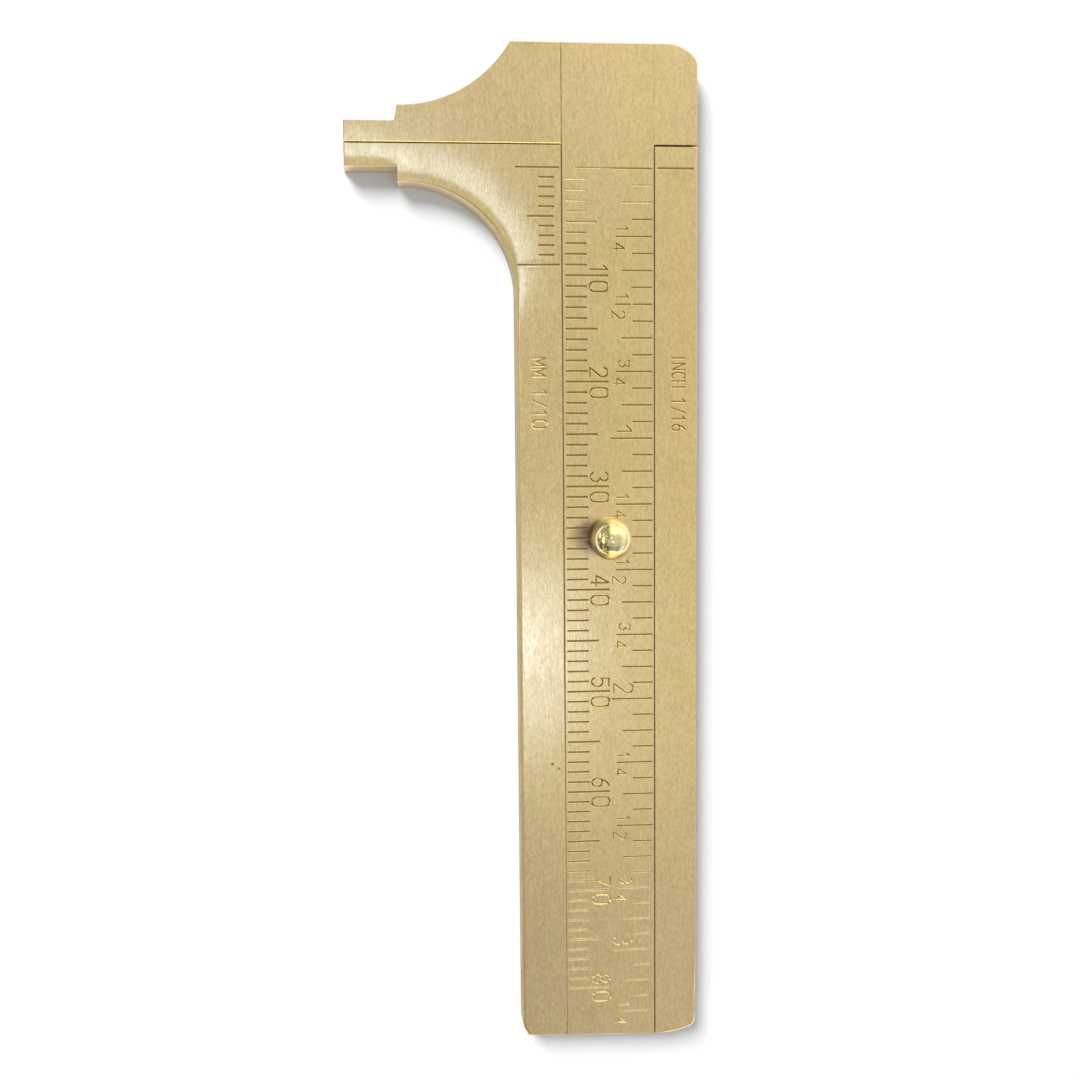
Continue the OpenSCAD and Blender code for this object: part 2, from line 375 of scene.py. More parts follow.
# Figures and letters in a unit box, each a list of (points, closed)
GLYPHS = {
    "0": [([(0.5 + 0.5 * np.sign(math.cos(t)) * abs(math.cos(t)) ** 0.72,
             0.5 + 0.5 * np.sign(math.sin(t)) * abs(math.sin(t)) ** 0.55)
            for t in np.radians(np.arange(0, 360, 15))], True)],
    "1": [([(0.5, 0), (0.5, 1)], False), ([(0.5, 1), (0.12, 0.78)], False)],
    "2": [(arcs(arc_points(0.5, 0.7, 0.45, 0.3, 165, -25, 10), [(0.45, 0.28), (0.04, 0)]), False),
          ([(0.04, 0), (0.98, 0)], False)],
    "3": [(arc_points(0.46, 0.76, 0.44, 0.24, 155, -75, 9), False),
          (arc_points(0.46, 0.27, 0.5, 0.27, 78, -155, 10), False)],
    "4": [([(0.72, 0), (0.72, 1)], False), ([(0.72, 1), (0.02, 0.3)], False),
          ([(0.02, 0.3), (1, 0.3)], False)],
    "5": [([(0.9, 1), (0.16, 1)], False), ([(0.16, 1), (0.1, 0.56)], False),
          (arc_points(0.47, 0.33, 0.48, 0.32, 135, -150, 12), False)],
    "6": [(arcs([(0.82, 0.98), (0.45, 0.84), (0.2, 0.6), (0.08, 0.36)]), False),
          (arc_points(0.5, 0.3, 0.43, 0.3, 0, 360, 16)[:-1], True)],
    "7": [([(0.02, 1), (0.98, 1)], False), ([(0.98, 1), (0.5, 0.42), (0.36, 0)], False)],
    "8": [(arc_points(0.5, 0.76, 0.36, 0.24, 0, 360, 14)[:-1], True),
          (arc_points(0.5, 0.26, 0.46, 0.26, 0, 360, 16)[:-1], True)],
    "M": [([(0, 0), (0, 1)], False), ([(0, 1), (0.5, 0.3)], False),
          ([(0.5, 0.3), (1, 1)], False), ([(1, 1), (1, 0)], False)],
    "l": [([(0.5, 0), (0.5, 1)], False), ([(0.5, 1), (-0.25, 0.64)], False)],
    "I": [([(0.5, 0), (0.5, 1)], False)],
    "N": [([(0.05, 0), (0.05, 1)], False), ([(0.05, 1), (0.95, 0)], False),
          ([(0.95, 0), (0.95, 1)], False)],
    "C": [(arc_points(0.55, 0.5, 0.5, 0.5, 48, 312, 14), False)],
    "H": [([(0.05, 0), (0.05, 1)], False), ([(0.95, 0), (0.95, 1)], False),
          ([(0.05, 0.5), (0.95, 0.5)], False)],
    "/": [([(0.1, 0), (0.9, 1)], False)],
}


def figure(ch, x0, y_mid, w, h, hw=0.07, depth=0.034, ink=1.0):
    """Strokes of one figure that reads down the gauge: its foot is at x0, and its
    middle at y_mid."""
    out = []
    for pts, closed in GLYPHS[ch]:
        q = [(x0 + v * h, y_mid - (u - 0.5) * w) for u, v in pts]
        out.append(Stroke(q, hw, depth, closed, ink))
    return out


def word(text, x0, y0, w, h, pitch, hw=0.075, depth=0.036, ink=1.0):
    out = []
    for i, ch in enumerate(text):
        if ch != " ":
            out += figure(ch, x0, y0 - w / 2 - i * pitch, w, h, hw, depth, ink)
    return out


def ticks_bar():
    rng = np.random.default_rng(11)
    out = []

    def tick(x0, x1, y, hw=0.08, depth=0.05, ink=1.0, slope=0.0):
        j = np.clip(rng.normal(0, 0.02, 4), -0.03, 0.03)
        out.append(Stroke([(x0 + j[0] * 0.6, y + j[2] * 0.3), (x1 + j[1] * 1.5, y + j[3] * 0.5 + slope)],
                          hw, depth, False, ink))

    for i in range(1, 81):
        end = 4.28 if i % 10 == 0 else 3.25 if i % 5 == 0 else 2.28
        # Strokes near the zero get thinner tarnish, a painted lightening where they catch light
        ink = {1: 0.22, 2: 0.26, 3: 0.3, 4: 0.34, 5: 0.38, 6: 0.45}.get(i, 1.0)
        start = 0.43 if i < 8 else 0.35 - 0.09 * float(smooth((i - 42) / 28))
        tick(start, end, -i, 0.125 if i % 5 == 0 else 0.118, 0.05 if i < 5 else 0.07, ink)
    for i in range(1, 9):
        out.extend(figure(str(i), 2.6, -i * 10 + (0.56 if i == 1 else 0.9), 0.96, 1.72, 0.1, 0.06))
        out.extend(figure("0", 2.6, -i * 10 - (1.04 if i < 7 else 0.92), 0.94, 1.74, 0.1, 0.06))
    for i in range(1, 53):
        y = -i * 25.4 / 16
        right = SCALE_W - SEAM / 2 - (0.23 if i < 36 else 0.23 + 0.018 * (i - 36))
        size = 4.2 if i % 16 == 0 else 3.65 if i % 4 == 0 else 3.1 if i % 2 == 0 else 2.07
        if i == 8:
            size = 2.0
            tick(SCALE_W - 3.72, SCALE_W - 2.32, y, 0.098, 0.056)
        tick(SCALE_W - size, right, y, 0.098, 0.056, 0.25 if i < 3 else 1.0)
        # The inch figures get thinner tarnish: real tarnish, partly thinned as a painted lightening where they catch
        # light
        if i % 16 == 0:
            ch, x0, up, w, h = {1: ("l", 3.6, 0.66, 0.8, 1.4), 2: ("2", 4.0, 1.05, 1.0, 1.9),
                                3: ("3", 4.1, 0.98, 0.95, 1.8)}[i // 16]
            out.extend(figure(ch, SCALE_W - x0, y + up, w, h, 0.092, 0.06, 0.6))
        elif i % 4 == 0:
            top, low = {4: "14", 8: "12", 12: "34"}[i % 16]
            if top == "1":
                out.extend(figure("1", SCALE_W - 3.65, y + 0.68, 0.62, 1.15, 0.088, 0.058, 0.5))
            else:
                out.extend(figure("3", SCALE_W - 3.45, y + 0.76, 0.68, 1.1, 0.084, 0.056, 0.5))
            out.extend(figure(low, SCALE_W - (4.08 if low == "2" else 3.95), y - 0.98, 0.72,
                              1.28 if low == "2" else 1.12, 0.084, 0.056, 0.5))
    tick(1.35, 4.6, 0.02, 0.09, 0.05, 0.4, -0.03)
    tick(4.72, SCALE_W - SEAM / 2 - 0.23, -0.02, 0.1, 0.056, 0.8, -0.03)
    # Towards the tail the strokes are cut deeper and their tarnish fades out, a painted lightening where the strokes
    # catch light
    for q in out:
        k = float(smooth((-q.p[:, 1].mean() - 62) / 9))
        q.ink *= 1 - 0.9 * k
        q.depth *= 1 + 0.1 * k
    return out


def ticks_jaw():
    out = []
    for i in range(11):
        y = -0.9 * i
        x0, x1 = {0: (-4.35, -0.28), 5: (-3.25, -0.85), 10: (-4.15, -0.28)}.get(i, (-2.15, -0.8))
        out.append(Stroke([(x0, y), (x1, y)], 0.112 if i in (0, 10) else 0.118, 0.066))
    out += word("MM 1/10", -2.95, -17.75, 0.74, 1.35, 0.98, 0.115, 0.062, 0.26)
    out += [Stroke([(-0.62, -57.6)], 0.13, 0.06), Stroke([(-1.3, -57.15)], 0.16, 0.06)]
    return out


def ticks_index():
    out = [Stroke([(SCALE_W + 0.36, 0), (RIGHT_X - 0.42, 0)], 0.12, 0.07)]
    out += word("INCH 1/16", SCALE_W + 1.7, -17.45, 0.64, 1.3, 0.83, 0.105, 0.06, 0.45)
    return out


# ----------------------------------------------------------------------------
# Mesh building
# ----------------------------------------------------------------------------
class Builder:
    def __init__(self):
        self.v, self.f, self.groove, self.rim, self.sharp = [], [], [], [], set()

    def vert(self, x, y, z, groove=0.0, rim=0.0):
        self.v.append((float(x), float(y), float(z)))
        self.groove.append(float(groove))
        self.rim.append(float(rim))
        return len(self.v) - 1

    def loop(self, xy, z, rim=0.0, groove=0.0):
        z = np.broadcast_to(z, (len(xy),))
        r = np.broadcast_to(rim, (len(xy),))
        g = np.broadcast_to(groove, (len(xy),))
        return [self.vert(p[0], p[1], h, d, k) for p, h, k, d in zip(xy, z, r, g)]

    def strip(self, a, b):
        """Quads between two loops of the same length; a is below or outside b."""
        n = len(a)
        for i in range(n):
            j = (i + 1) % n
            self.f.append((a[i], a[j], b[j], b[i]))

    def fan(self, ring, centre, up):
        n = len(ring)
        for i in range(n):
            j = (i + 1) % n
            self.f.append((ring[i], ring[j], centre) if up else (ring[j], ring[i], centre))

    def object(self, name, crease=32.0):
        co = (np.array(self.v) + SHIFT) * 0.001
        mesh = bpy.data.meshes.new(name)
        mesh.from_pydata(co.tolist(), [], self.f)
        mesh.update()
        for key, data in (("groove", self.groove), ("rim", self.rim)):
            mesh.attributes.new(key, "FLOAT", "POINT").data.foreach_set("value", np.array(data, np.float32))
        mesh.polygons.foreach_set("use_smooth", [True] * len(mesh.polygons))
        # Creases: the marked edges, and those where the faces meet at an angle
        n_e = len(mesh.edges)
        ev = np.zeros(n_e * 2, np.int32)
        mesh.edges.foreach_get("vertices", ev)
        ev = ev.reshape(-1, 2)
        normals = np.array([p.normal for p in mesh.polygons])
        edge_of = np.zeros(len(mesh.loops), np.int32)
        mesh.loops.foreach_get("edge_index", edge_of)
        face_of = np.repeat(np.arange(len(mesh.polygons)), [p.loop_total for p in mesh.polygons])
        order = np.argsort(edge_of, kind="stable")
        e, f = edge_of[order], face_of[order]
        first = np.searchsorted(e, np.arange(n_e))
        count = np.bincount(e, minlength=n_e)
        sharp = count != 2
        two = np.nonzero(count == 2)[0]
        dot = (normals[f[first[two]]] * normals[f[first[two] + 1]]).sum(1)
        sharp[two] = dot < math.cos(math.radians(crease))
        marked = {tuple(sorted(q)) for q in self.sharp}
        for i, (a, b) in enumerate(ev):
            if (a, b) in marked or (b, a) in marked:
                sharp[i] = True
        mesh.attributes.new("sharp_edge", "BOOLEAN", "EDGE").data.foreach_set("value", sharp)
        mesh.update()
        obj = bpy.data.objects.new(name, mesh)
        bpy.context.scene.collection.objects.link(obj)
        obj["open_edges"] = int((count != 2).sum())
        return obj


def inset(pts, widths):
    """Moves each edge of a closed outline inwards by its own width"""
    n = len(pts)
    nxt = np.roll(pts, -1, 0)
    t = (nxt - pts) / np.linalg.norm(nxt - pts, axis=1)[:, None]
    inward = np.stack([-t[:, 1], t[:, 0]], 1)
    out = np.empty_like(pts)
    for i in range(n):
        a, b = inward[i - 1], inward[i]
        da, db = widths[i - 1], widths[i]
        det = a[0] * b[1] - a[1] * b[0]
        if abs(det) < 0.02:
            m = a + b
            out[i] = pts[i] + m / (m @ m) * (da + db)
        else:
            out[i] = pts[i] + np.array([(da * b[1] - db * a[1]) / det, (a[0] * db - b[0] * da) / det])
    return out


def inside(points, loop):
    """Even-odd test of many points against one closed loop"""
    x, y = points[:, 0], points[:, 1]
    a, b = loop, np.roll(loop, -1, 0)
    hit = np.zeros(len(points), bool)
    for i in range(len(a)):
        if a[i][1] == b[i][1]:
            continue
        cross = (a[i][1] > y) != (b[i][1] > y)
        at = (b[i][0] - a[i][0]) * (y - a[i][1]) / (b[i][1] - a[i][1]) + a[i][0]
        hit ^= cross & (x < at)
    return hit


def far_from(points, a, b, least):
    """Which points lie at least that far from every segment a-b"""
    keep = np.ones(len(points), bool)
    ab = b - a
    ll = np.maximum((ab * ab).sum(1), 1e-12)
    for i in range(0, len(points), 400):
        q = points[i:i + 400]
        t = np.clip(((q[:, None] - a) * ab).sum(2) / ll, 0, 1)
        d = np.linalg.norm(q[:, None] - (a + t[..., None] * ab), axis=2)
        lim = least[i:i + 400] if np.ndim(least) else least
        keep[i:i + 400] = d.min(1) >= lim
    return keep


def grid(lo, hi, step):
    rows = []
    dy = step * 0.866
    for k, y in enumerate(np.arange(lo[1], hi[1], dy)):
        xs = np.arange(lo[0] + (step / 2 if k % 2 else 0), hi[0], step)
        rows.append(np.stack([xs, np.full(len(xs), y)], 1))
    return np.vstack(rows) if rows else np.zeros((0, 2))


def cap(b, outer, holes, height, strokes=(), extra=None, up=True):
    """Fills the space inside loop outer, less the holes, with triangles. height
    gives z for arrays of x and y. Strokes are cut into it."""
    co = np.array(b.v)[:, :2].astype(np.float32).astype(float)
    pts, ids, edges, kinds = [], [], [], []

    def run(points, closed, kind, known=None):
        first = len(pts)
        for i, q in enumerate(points):
            pts.append((float(q[0]), float(q[1])))
            ids.append(known[i] if known else -1)
        n = len(points)
        for i in range(n if closed else n - 1):
            edges.append((first + i, first + (i + 1) % n))
            kinds.append(kind)

    for ring in [outer, *holes]:
        run(co[ring], True, "bound", ring)
    for s in strokes:
        for points, closed, kind in s.outline():
            run(points, closed, kind)
    fixed = np.array(pts)
    ea = fixed[[e[0] for e in edges]]
    eb = fixed[[e[1] for e in edges]]
    if extra is not None and len(extra):
        q, least = extra[:, :2], extra[:, 2]
        ok = inside(q, co[outer])
        for h in holes:
            ok &= ~inside(q, co[h])
        q, least = q[ok], least[ok]
        for p in q[far_from(q, ea, eb, least)]:
            pts.append((float(p[0]), float(p[1])))
            ids.append(-1)
    got = delaunay_2d_cdt([Vector(p) for p in pts], edges, [], 0, 1e-6, True)
    verts, out_edges, faces, orig_v, orig_e = got[0], got[1], got[2], got[3], got[4]
    xy = np.array([(p[0], p[1]) for p in verts])
    tri = np.array(faces)
    mid = xy[tri].mean(1)
    keep = inside(mid, co[outer])
    for h in holes:
        keep &= ~inside(mid, co[h])
    tri = tri[keep]
    known = np.full(len(xy), -1)
    for j, o in enumerate(orig_v):
        for k in o:
            if ids[k] >= 0:
                known[j] = ids[k]
    used = np.unique(tri)
    new = used[known[used] < 0]
    x, y = xy[new, 0], xy[new, 1]
    depth, share = groove_depth(strokes, x, y) if strokes else (np.zeros(len(new)),) * 2
    z = height(x, y) - depth
    for j, h, s in zip(new, z, share):
        known[j] = b.vert(xy[j, 0], xy[j, 1], h, s, 0)
    for t in tri:
        a, c, d = xy[t]
        ccw = (c[0] - a[0]) * (d[1] - a[1]) - (c[1] - a[1]) * (d[0] - a[0]) > 0
        q = [int(known[i]) for i in t]
        if len(set(q)) < 3:
            continue
        b.f.append(tuple(q if ccw == up else q[::-1]))
    for (i, j), o in zip(out_edges, orig_e):
        if known[i] >= 0 and known[j] >= 0 and any(k < len(kinds) and kinds[k] != "bound" for k in o):
            b.sharp.add(tuple(sorted((int(known[i]), int(known[j])))))


def lofted(b, top, bottom, tags, rim_top, rim_bottom, z_top, z_bottom, roll=False):
    """The rounded rim and sides of a plate. Returns its inner bottom and top loops.
    rim_top and rim_bottom give (width, height) of an edge's rounding."""
    n = len(top)
    mid = (top + np.roll(top, -1, 0)) / 2
    wt = np.array([rim_top(t, m) for t, m in zip(tags, mid)])
    wb = np.array([rim_bottom(t, m) for t, m in zip(tags, mid)])
    flat = np.array([t in ("corner", "side_r") and m[0] > 5 and m[1] < 6.5 - TAIL
                     or t == "cut" and m[1] > FACE_Y + GAP / 2 and m[0] < 0 for t, m in zip(tags, mid)], float)
    # Rims along the seams, and along the cuts of the frame below the head, are darkened with the engraving's dark
    # colour; the seams more so near the head
    seam_darkening = np.array([0.0 if t == "cut" and m[1] > FACE_Y + GAP / 2 else 0.45 if t == "cut"
                      else (0.3 if m[1] > -15 else 0.22) if t == "seam" else 0.34 if t == "seam_head" and m[0] < 1 else 0.0
                      for t, m in zip(tags, mid)])

    def at_vertex(h):
        return np.maximum(h, np.roll(h, 1))

    span = z_top - z_bottom
    loops = []

    def level(w, h, phi, from_top, more=0.0):
        q = flat if from_top else flat * 0
        straight = phi / math.radians(90)
        c = (1 - math.cos(phi)) * (1 - q) + straight * q
        s = (1 - math.sin(phi)) * (1 - q) + (1 - straight) * q
        dz = at_vertex(h * s)
        z = z_top - dz if from_top else z_bottom + dz
        share = ((z - z_bottom) / span)[:, None]
        base = bottom + (top - bottom) * share
        xy = inset(base, w * c + more)
        if roll and from_top:
            z = z - roll_off(xy[:, 0], xy[:, 1])
        seam_dark = np.minimum(seam_darkening, np.roll(seam_darkening, 1)) * smooth(math.cos(phi) / 0.5) if from_top else 0.0
        loops.append(b.loop(xy, z, math.cos(phi) * (1 - at_vertex(q) if from_top else 1), seam_dark))

    steps = np.radians([90, 67.5, 45, 22.5, 0])
    level(wb[:, 0], wb[:, 1], steps[0], False, 0.03)
    for phi in steps:
        level(wb[:, 0], wb[:, 1], phi, False)
    for phi in steps[::-1]:
        level(wt[:, 0], wt[:, 1], phi, True)
    level(wt[:, 0], wt[:, 1], steps[0], True, 0.03)
    for a, c in zip(loops, loops[1:]):
        b.strip(a, c)
    return loops[0], loops[-1]


def ring(b, x, y, r, z, n=32, rim=0.0):
    return b.loop(np.array(arc_points(x, y, r, r, 0, 360, n)[:-1]), z, rim)


RIMS = {"cut": 0.05, "seam": 0.04, "seam_head": 0.025, "tip_end": 0.07, "tip_bottom": 0.09,
        "step": 0.07, "curve": 0.09, "corner": 0.12, "tail": 0.1, "side": 0.09, "side_r": 0.09,
        "top": 0.08, "upper": 0.09, "step_up": 0.07, "tip_top": 0.09}


def rim_top(tag, m):
    if tag == "corner" and m[0] > 5 and m[1] < -50:
        return 0.2, 0.15
    if tag == "side_r" and m[1] < 6.5 - TAIL:
        k = smooth((6.5 - TAIL - m[1]) / 4)
        return 0.1 + 0.09 * k, 0.09 + 0.05 * k
    if tag == "cut" and m[1] > FACE_Y + GAP / 2 and m[0] < 0:
        return 0.11, 0.1
    if tag == "cut" and m[0] > SCALE_W and m[1] < FACE_Y:
        return 0.11, 0.06
    if tag == "seam" and m[0] > SCALE_W:
        return 0.12, 0.07
    if tag == "seam":
        k = 1 - smooth((-m[1] - 42) / 28)
        return 0.03 + (0.01 if m[0] > 1 else 0.07 if m[0] > 0 else 0.03) * k, 0.03 + 0.03 * k
    if tag == "seam_head" and abs(m[0]) < 1:
        return 0.05, 0.05
    if tag == "side" or (tag == "corner" and m[0] < 0):
        return 0.3, 0.2
    if tag == "curve":
        k = smooth((m[0] - CX - 1.5) / (LOWER_R - 2.5))
        return 0.09 + 0.21 * k, 0.09 + 0.11 * k
    r = RIMS[tag]
    return r, r


def flat_rim(size, soft=()):
    def rim(tag, m):
        r = dict(soft).get(tag, size)
        return r, r
    return rim


def blind_hole(b, x, y, profile, up=True):
    """A round hole from the bottom face: profile is a list of (radius, z)."""
    rings = [ring(b, x, y, r, z) for r, z in profile]
    for a, c in zip(rings, rings[1:]):
        b.strip(c[::-1], a[::-1])
    last = profile[-1]
    b.fan(rings[-1], b.vert(x, y, last[1]), False)
    return rings[0]


def bottom_holes(b, places, z0):
    return [blind_hole(b, x, y, [(RIVET_R + 0.02, z0), (RIVET_R, z0 + 0.02), (RIVET_R, RIVET_L)])
            for x, y in places]


def face_piece(name, shape, strokes, rivets, roll, fine=None):
    """A rail, jaw or cheek that stands on its back plate, with a dovetail side"""
    pts, tags = shape
    low = leaning(pts, tags, PLATE_T)
    if name in ("fixed_jaw_rail", "sliding_jaw"):
        low[:, 0] -= SPREAD * np.clip((pts[:, 0] + 2) / 1.95, 0, 1)
    else:
        low[:, 0] += SPREAD * np.clip((SCALE_W + 1.25 - pts[:, 0]) / 1.2, 0, 1)
    pts, low = filed(taper(leaning(pts, tags, BODY_T))), filed(low)
    b = Builder()
    bottom, top = lofted(b, pts, low, tags, rim_top, flat_rim(0.025), BODY_T, PLATE_T, roll)
    holes = bottom_holes(b, rivets, PLATE_T)
    lo, hi = pts.min(0), pts.max(0)
    g = grid(lo, hi, 1.1)
    extra = np.hstack([g, np.full((len(g), 1), 0.4)])
    if roll:
        g = grid(lo, hi, 0.36)
        d = contour_gap(g[:, 0], g[:, 1])
        g = g[(d < ROLL_W + 0.3) & (g[:, 1] > -21)]
        coarse = extra[(contour_gap(extra[:, 0], extra[:, 1]) >= ROLL_W + 0.3) | (extra[:, 1] <= -21)]
        extra = np.vstack([np.hstack([g, np.full((len(g), 1), 0.13)]), coarse])
    height = (lambda x, y: BODY_T - roll_off(x, y)) if roll else (lambda x, y: np.full(len(x), BODY_T))
    cap(b, top, [], height, strokes, extra, True)
    g = grid(lo, hi, 2.2)
    cap(b, bottom, holes, lambda x, y: np.full(len(x), PLATE_T), (),
        np.hstack([g, np.full((len(g), 1), 0.7)]), False)
    return b.object(name)


def plate_piece(name, shape, rivets, pins=()):
    """A back plate: rounded edge below, countersunk rivet holes"""
    pts, tags = shape
    b = Builder()
    bottom, top = lofted(b, filed(leaning(pts, tags, PLATE_T)), filed(leaning(pts, tags, 0.0)), tags, flat_rim(0.02),
                         flat_rim(0.13, {"cut": 0.05}), PLATE_T, 0.0)
    low, high = [], []
    for x, y in rivets:
        prof = [(RIVET_HEAD_R + 0.035, 0.0), (RIVET_HEAD_R, 0.03), (RIVET_R, 0.35),
                (RIVET_R, PLATE_T - 0.02), (RIVET_R + 0.02, PLATE_T)]
        rings = [ring(b, x, y, r, z) for r, z in prof]
        for a, c in zip(rings, rings[1:]):
            b.strip(c[::-1], a[::-1])
        low.append(rings[0])
        high.append(rings[-1])
    for x, y in pins:
        prof = [(STOP_D / 2 + 0.03, 0.0), (STOP_D / 2, 0.03), (STOP_D / 2, PLATE_T - 0.03),
                (STOP_D / 2 + 0.03, PLATE_T)]
        rings = [ring(b, x, y, r, z) for r, z in prof]
        for a, c in zip(rings, rings[1:]):
            b.strip(c[::-1], a[::-1])
        low.append(rings[0])
        high.append(rings[-1])
    lo, hi = pts.min(0), pts.max(0)
    g = grid(lo, hi, 1.6)
    extra = np.hstack([g, np.full((len(g), 1), 0.5)])
    cap(b, top, high, lambda x, y: np.full(len(x), PLATE_T), (), extra, True)
    cap(b, bottom, low, lambda x, y: np.zeros(len(x)), (), extra, False)
    return b.object(name)


def bar_piece():
    """The scale bar: engraved on top, stepped and pocketed underneath"""
    pts, tags = shape_bar()
    slope = SPREAD / (BODY_T - PLATE_T)
    foot_shift = slope * (BODY_T - FOOT)
    left = pts[:, 0] < 1
    right = pts[:, 0] > SCALE_W - 1
    low = pts.copy()
    low[left & np.isclose(pts[:, 0], SEAM / 2), 0] -= foot_shift
    low[right & np.isclose(pts[:, 0], SCALE_W - SEAM / 2), 0] += foot_shift
    k = (pts[:, 0] - SEAM / 2) / (SCALE_W - SEAM)
    ends = (np.isclose(pts[:, 1], -TAIL) | np.isclose(pts[:, 1], TOP_Y))
    low[ends, 0] = (SEAM / 2 - foot_shift) + k[ends] * (SCALE_W - SEAM + 2 * foot_shift)
    pts, low = filed(taper(pts)), filed(low)
    b = Builder()
    small = flat_rim(0.02)
    bottom, top = lofted(b, pts, low, tags, rim_top, small, BODY_T, FOOT)
    # Top face
    shank = ring(b, MIDDLE, KNOB_Y, SHANK_D / 2, BODY_T)
    lo, hi = pts.min(0), pts.max(0)
    g = grid(lo, hi, 1.1)
    extra = np.hstack([g, np.full((len(g), 1), 0.4)])
    cap(b, top, [shank], lambda x, y: np.full(len(x), BODY_T), ticks_bar(), extra, True)
    # Knob's hole, countersunk from below
    rings = [ring(b, MIDDLE, KNOB_Y, r, z) for r, z in
             ((SHANK_D / 2 + 0.4, FOOT), (SHANK_D / 2, FOOT + 0.4))] + [shank]
    for a, c in zip(rings, rings[1:]):
        b.strip(c[::-1], a[::-1])
    holes = [rings[0]]

    def pocket(x0, x1, y0, y1, z1, inner=()):
        """A rectangular pocket in the underside, with small round corners"""
        r = 0.25
        run = (arc_points(x1 - r, y1 - r, r, r, 0, 90, 5) + arc_points(x0 + r, y1 - r, r, r, 90, 180, 5)
               + arc_points(x0 + r, y0 + r, r, r, 180, 270, 5) + arc_points(x1 - r, y0 + r, r, r, 270, 360, 5))
        o = Outline(run[0])
        for q in run[1:] + [run[0]]:
            if math.dist(q, o.pts[-1]) > 1e-6:
                o.to(q, "", 1.5)
        loop, _ = o.close()
        a = b.loop(loop, FOOT)
        c = b.loop(loop, z1)
        b.strip(c[::-1], a[::-1])
        g2 = grid(loop.min(0), loop.max(0), 0.9)
        cap(b, c, list(inner), lambda x, y: np.full(len(x), z1), (),
            np.hstack([g2, np.full((len(g2), 1), 0.3)]), False)
        return a

    root = blind_hole(b, ROOT[0], ROOT[1], [(0.35, POCKET_TOP), (0.35, POCKET_TOP + 0.5)])
    holes.append(pocket(POCKET_X, POCKET_X + POCKET_W, POCKET_Y, POCKET_Y + POCKET_L, POCKET_TOP, [root]))
    y1 = STOP_P[1] + STOP_D / 2 + 0.2
    holes.append(pocket(STOP_P[0] - STOP_D / 2 - 0.2, STOP_P[0] + STOP_D / 2 + 0.2,
                        STOP_P[1] - TRAVEL - STOP_D / 2 - 0.1, y1, FOOT + 0.46))
    # The head's length reaches down to its back plate: a thin block on the foot
    co = np.array(b.v)
    over = [i for i in bottom if co[i, 1] > HEAD_Y + 0.01]
    start = [k for k, i in enumerate(bottom) if abs(co[i, 1] - HEAD_Y) < 0.03]
    g = grid(lo, hi, 1.6)
    fill = np.hstack([g, np.full((len(g), 1), 0.5)])
    # step line across, with the same points on both levels
    ia, ib = start[0], start[-1]
    order = bottom[ib:] + bottom[:ib]  # starts on the left at HEAD_Y, or on the right
    pa = co[bottom[ia]]
    pb = co[bottom[ib]]
    n = 9
    across = [b.vert(pa[0] + (pb[0] - pa[0]) * t, pa[1] + (pb[1] - pa[1]) * t, FOOT)
              for t in np.linspace(0, 1, n + 1)[1:-1]]
    i0, i1 = sorted((ia, ib))
    part1 = bottom[i0:i1 + 1]
    part2 = bottom[i1:] + bottom[:i0 + 1]
    c1 = np.array([co[i][1] for i in part1]).mean()
    line = across if i0 == ia else across[::-1]  # from i0 to i1
    tail_part, head_part = (part1, part2) if c1 < HEAD_Y - 1 else (part2, part1)
    if tail_part is part1:
        tail_loop = part1 + line[::-1]
        head_loop = part2 + line
    else:
        tail_loop = part2 + line
        head_loop = part1 + line[::-1]
    cap(b, tail_loop, holes, lambda x, y: np.full(len(x), FOOT), (), fill, False)
    now = np.array(b.v)
    shift = slope * RELIEF
    down = []
    for i in head_loop:
        x, y, _ = now[i]
        dx = -shift if x < 0.5 else shift if x > SCALE_W - 0.5 else 0.0
        down.append(b.vert(x + dx, y, PLATE_T, 0, 0.4))
    b.strip(down, head_loop)
    rivet_holes = [blind_hole(b, x, y, [(RIVET_R, PLATE_T), (RIVET_R, RIVET_L)]) for x, y in HEAD_C]
    cap(b, down, rivet_holes, lambda x, y: np.full(len(x), PLATE_T), (), fill, False)
    return b.object("scale_bar_engraved")


def lathe(b, x, y, profile, n=48, rims=None):
    """A closed solid of revolution from a list of (radius, z), bottom to top"""
    rings, prof = [], list(profile)
    lo = b.vert(x, y, prof[0][1])
    hi = b.vert(x, y, prof[-1][1])
    for i, (r, z) in enumerate(prof):
        if r > 1e-6:
            rings.append(ring(b, x, y, r, z, n, rims[i] if rims else 0.0))
    b.fan(rings[0], lo, False)
    for a, c in zip(rings, rings[1:]):
        b.strip(a, c)
    b.fan(rings[-1], hi, True)


def rivets_piece(name, places):
    b = Builder()
    for x, y in places:
        lathe(b, x, y, [(0.0, 0.012), (0.55, 0.009), (RIVET_HEAD_R - 0.06, 0.004), (RIVET_HEAD_R - 0.012, 0.022),
                        (RIVET_HEAD_R - 0.02, 0.05), (RIVET_R - 0.004, 0.36), (RIVET_R - 0.004, RIVET_L - 0.08),
                        (RIVET_R - 0.08, RIVET_L - 0.01), (0.0, RIVET_L - 0.01)], 32)
    return b.object(name)


def pin_piece():
    b = Builder()
    r, top = STOP_D / 2, FOOT + 0.36
    lathe(b, STOP_P[0], STOP_P[1], [(0.0, 0.006), (r - 0.06, 0.006), (r - 0.01, 0.03), (r - 0.005, top - 0.08),
                                    (r - 0.03, top - 0.035), (r - 0.09, top - 0.004), (0.0, top)], 40)
    return b.object("stop_pin_turned")


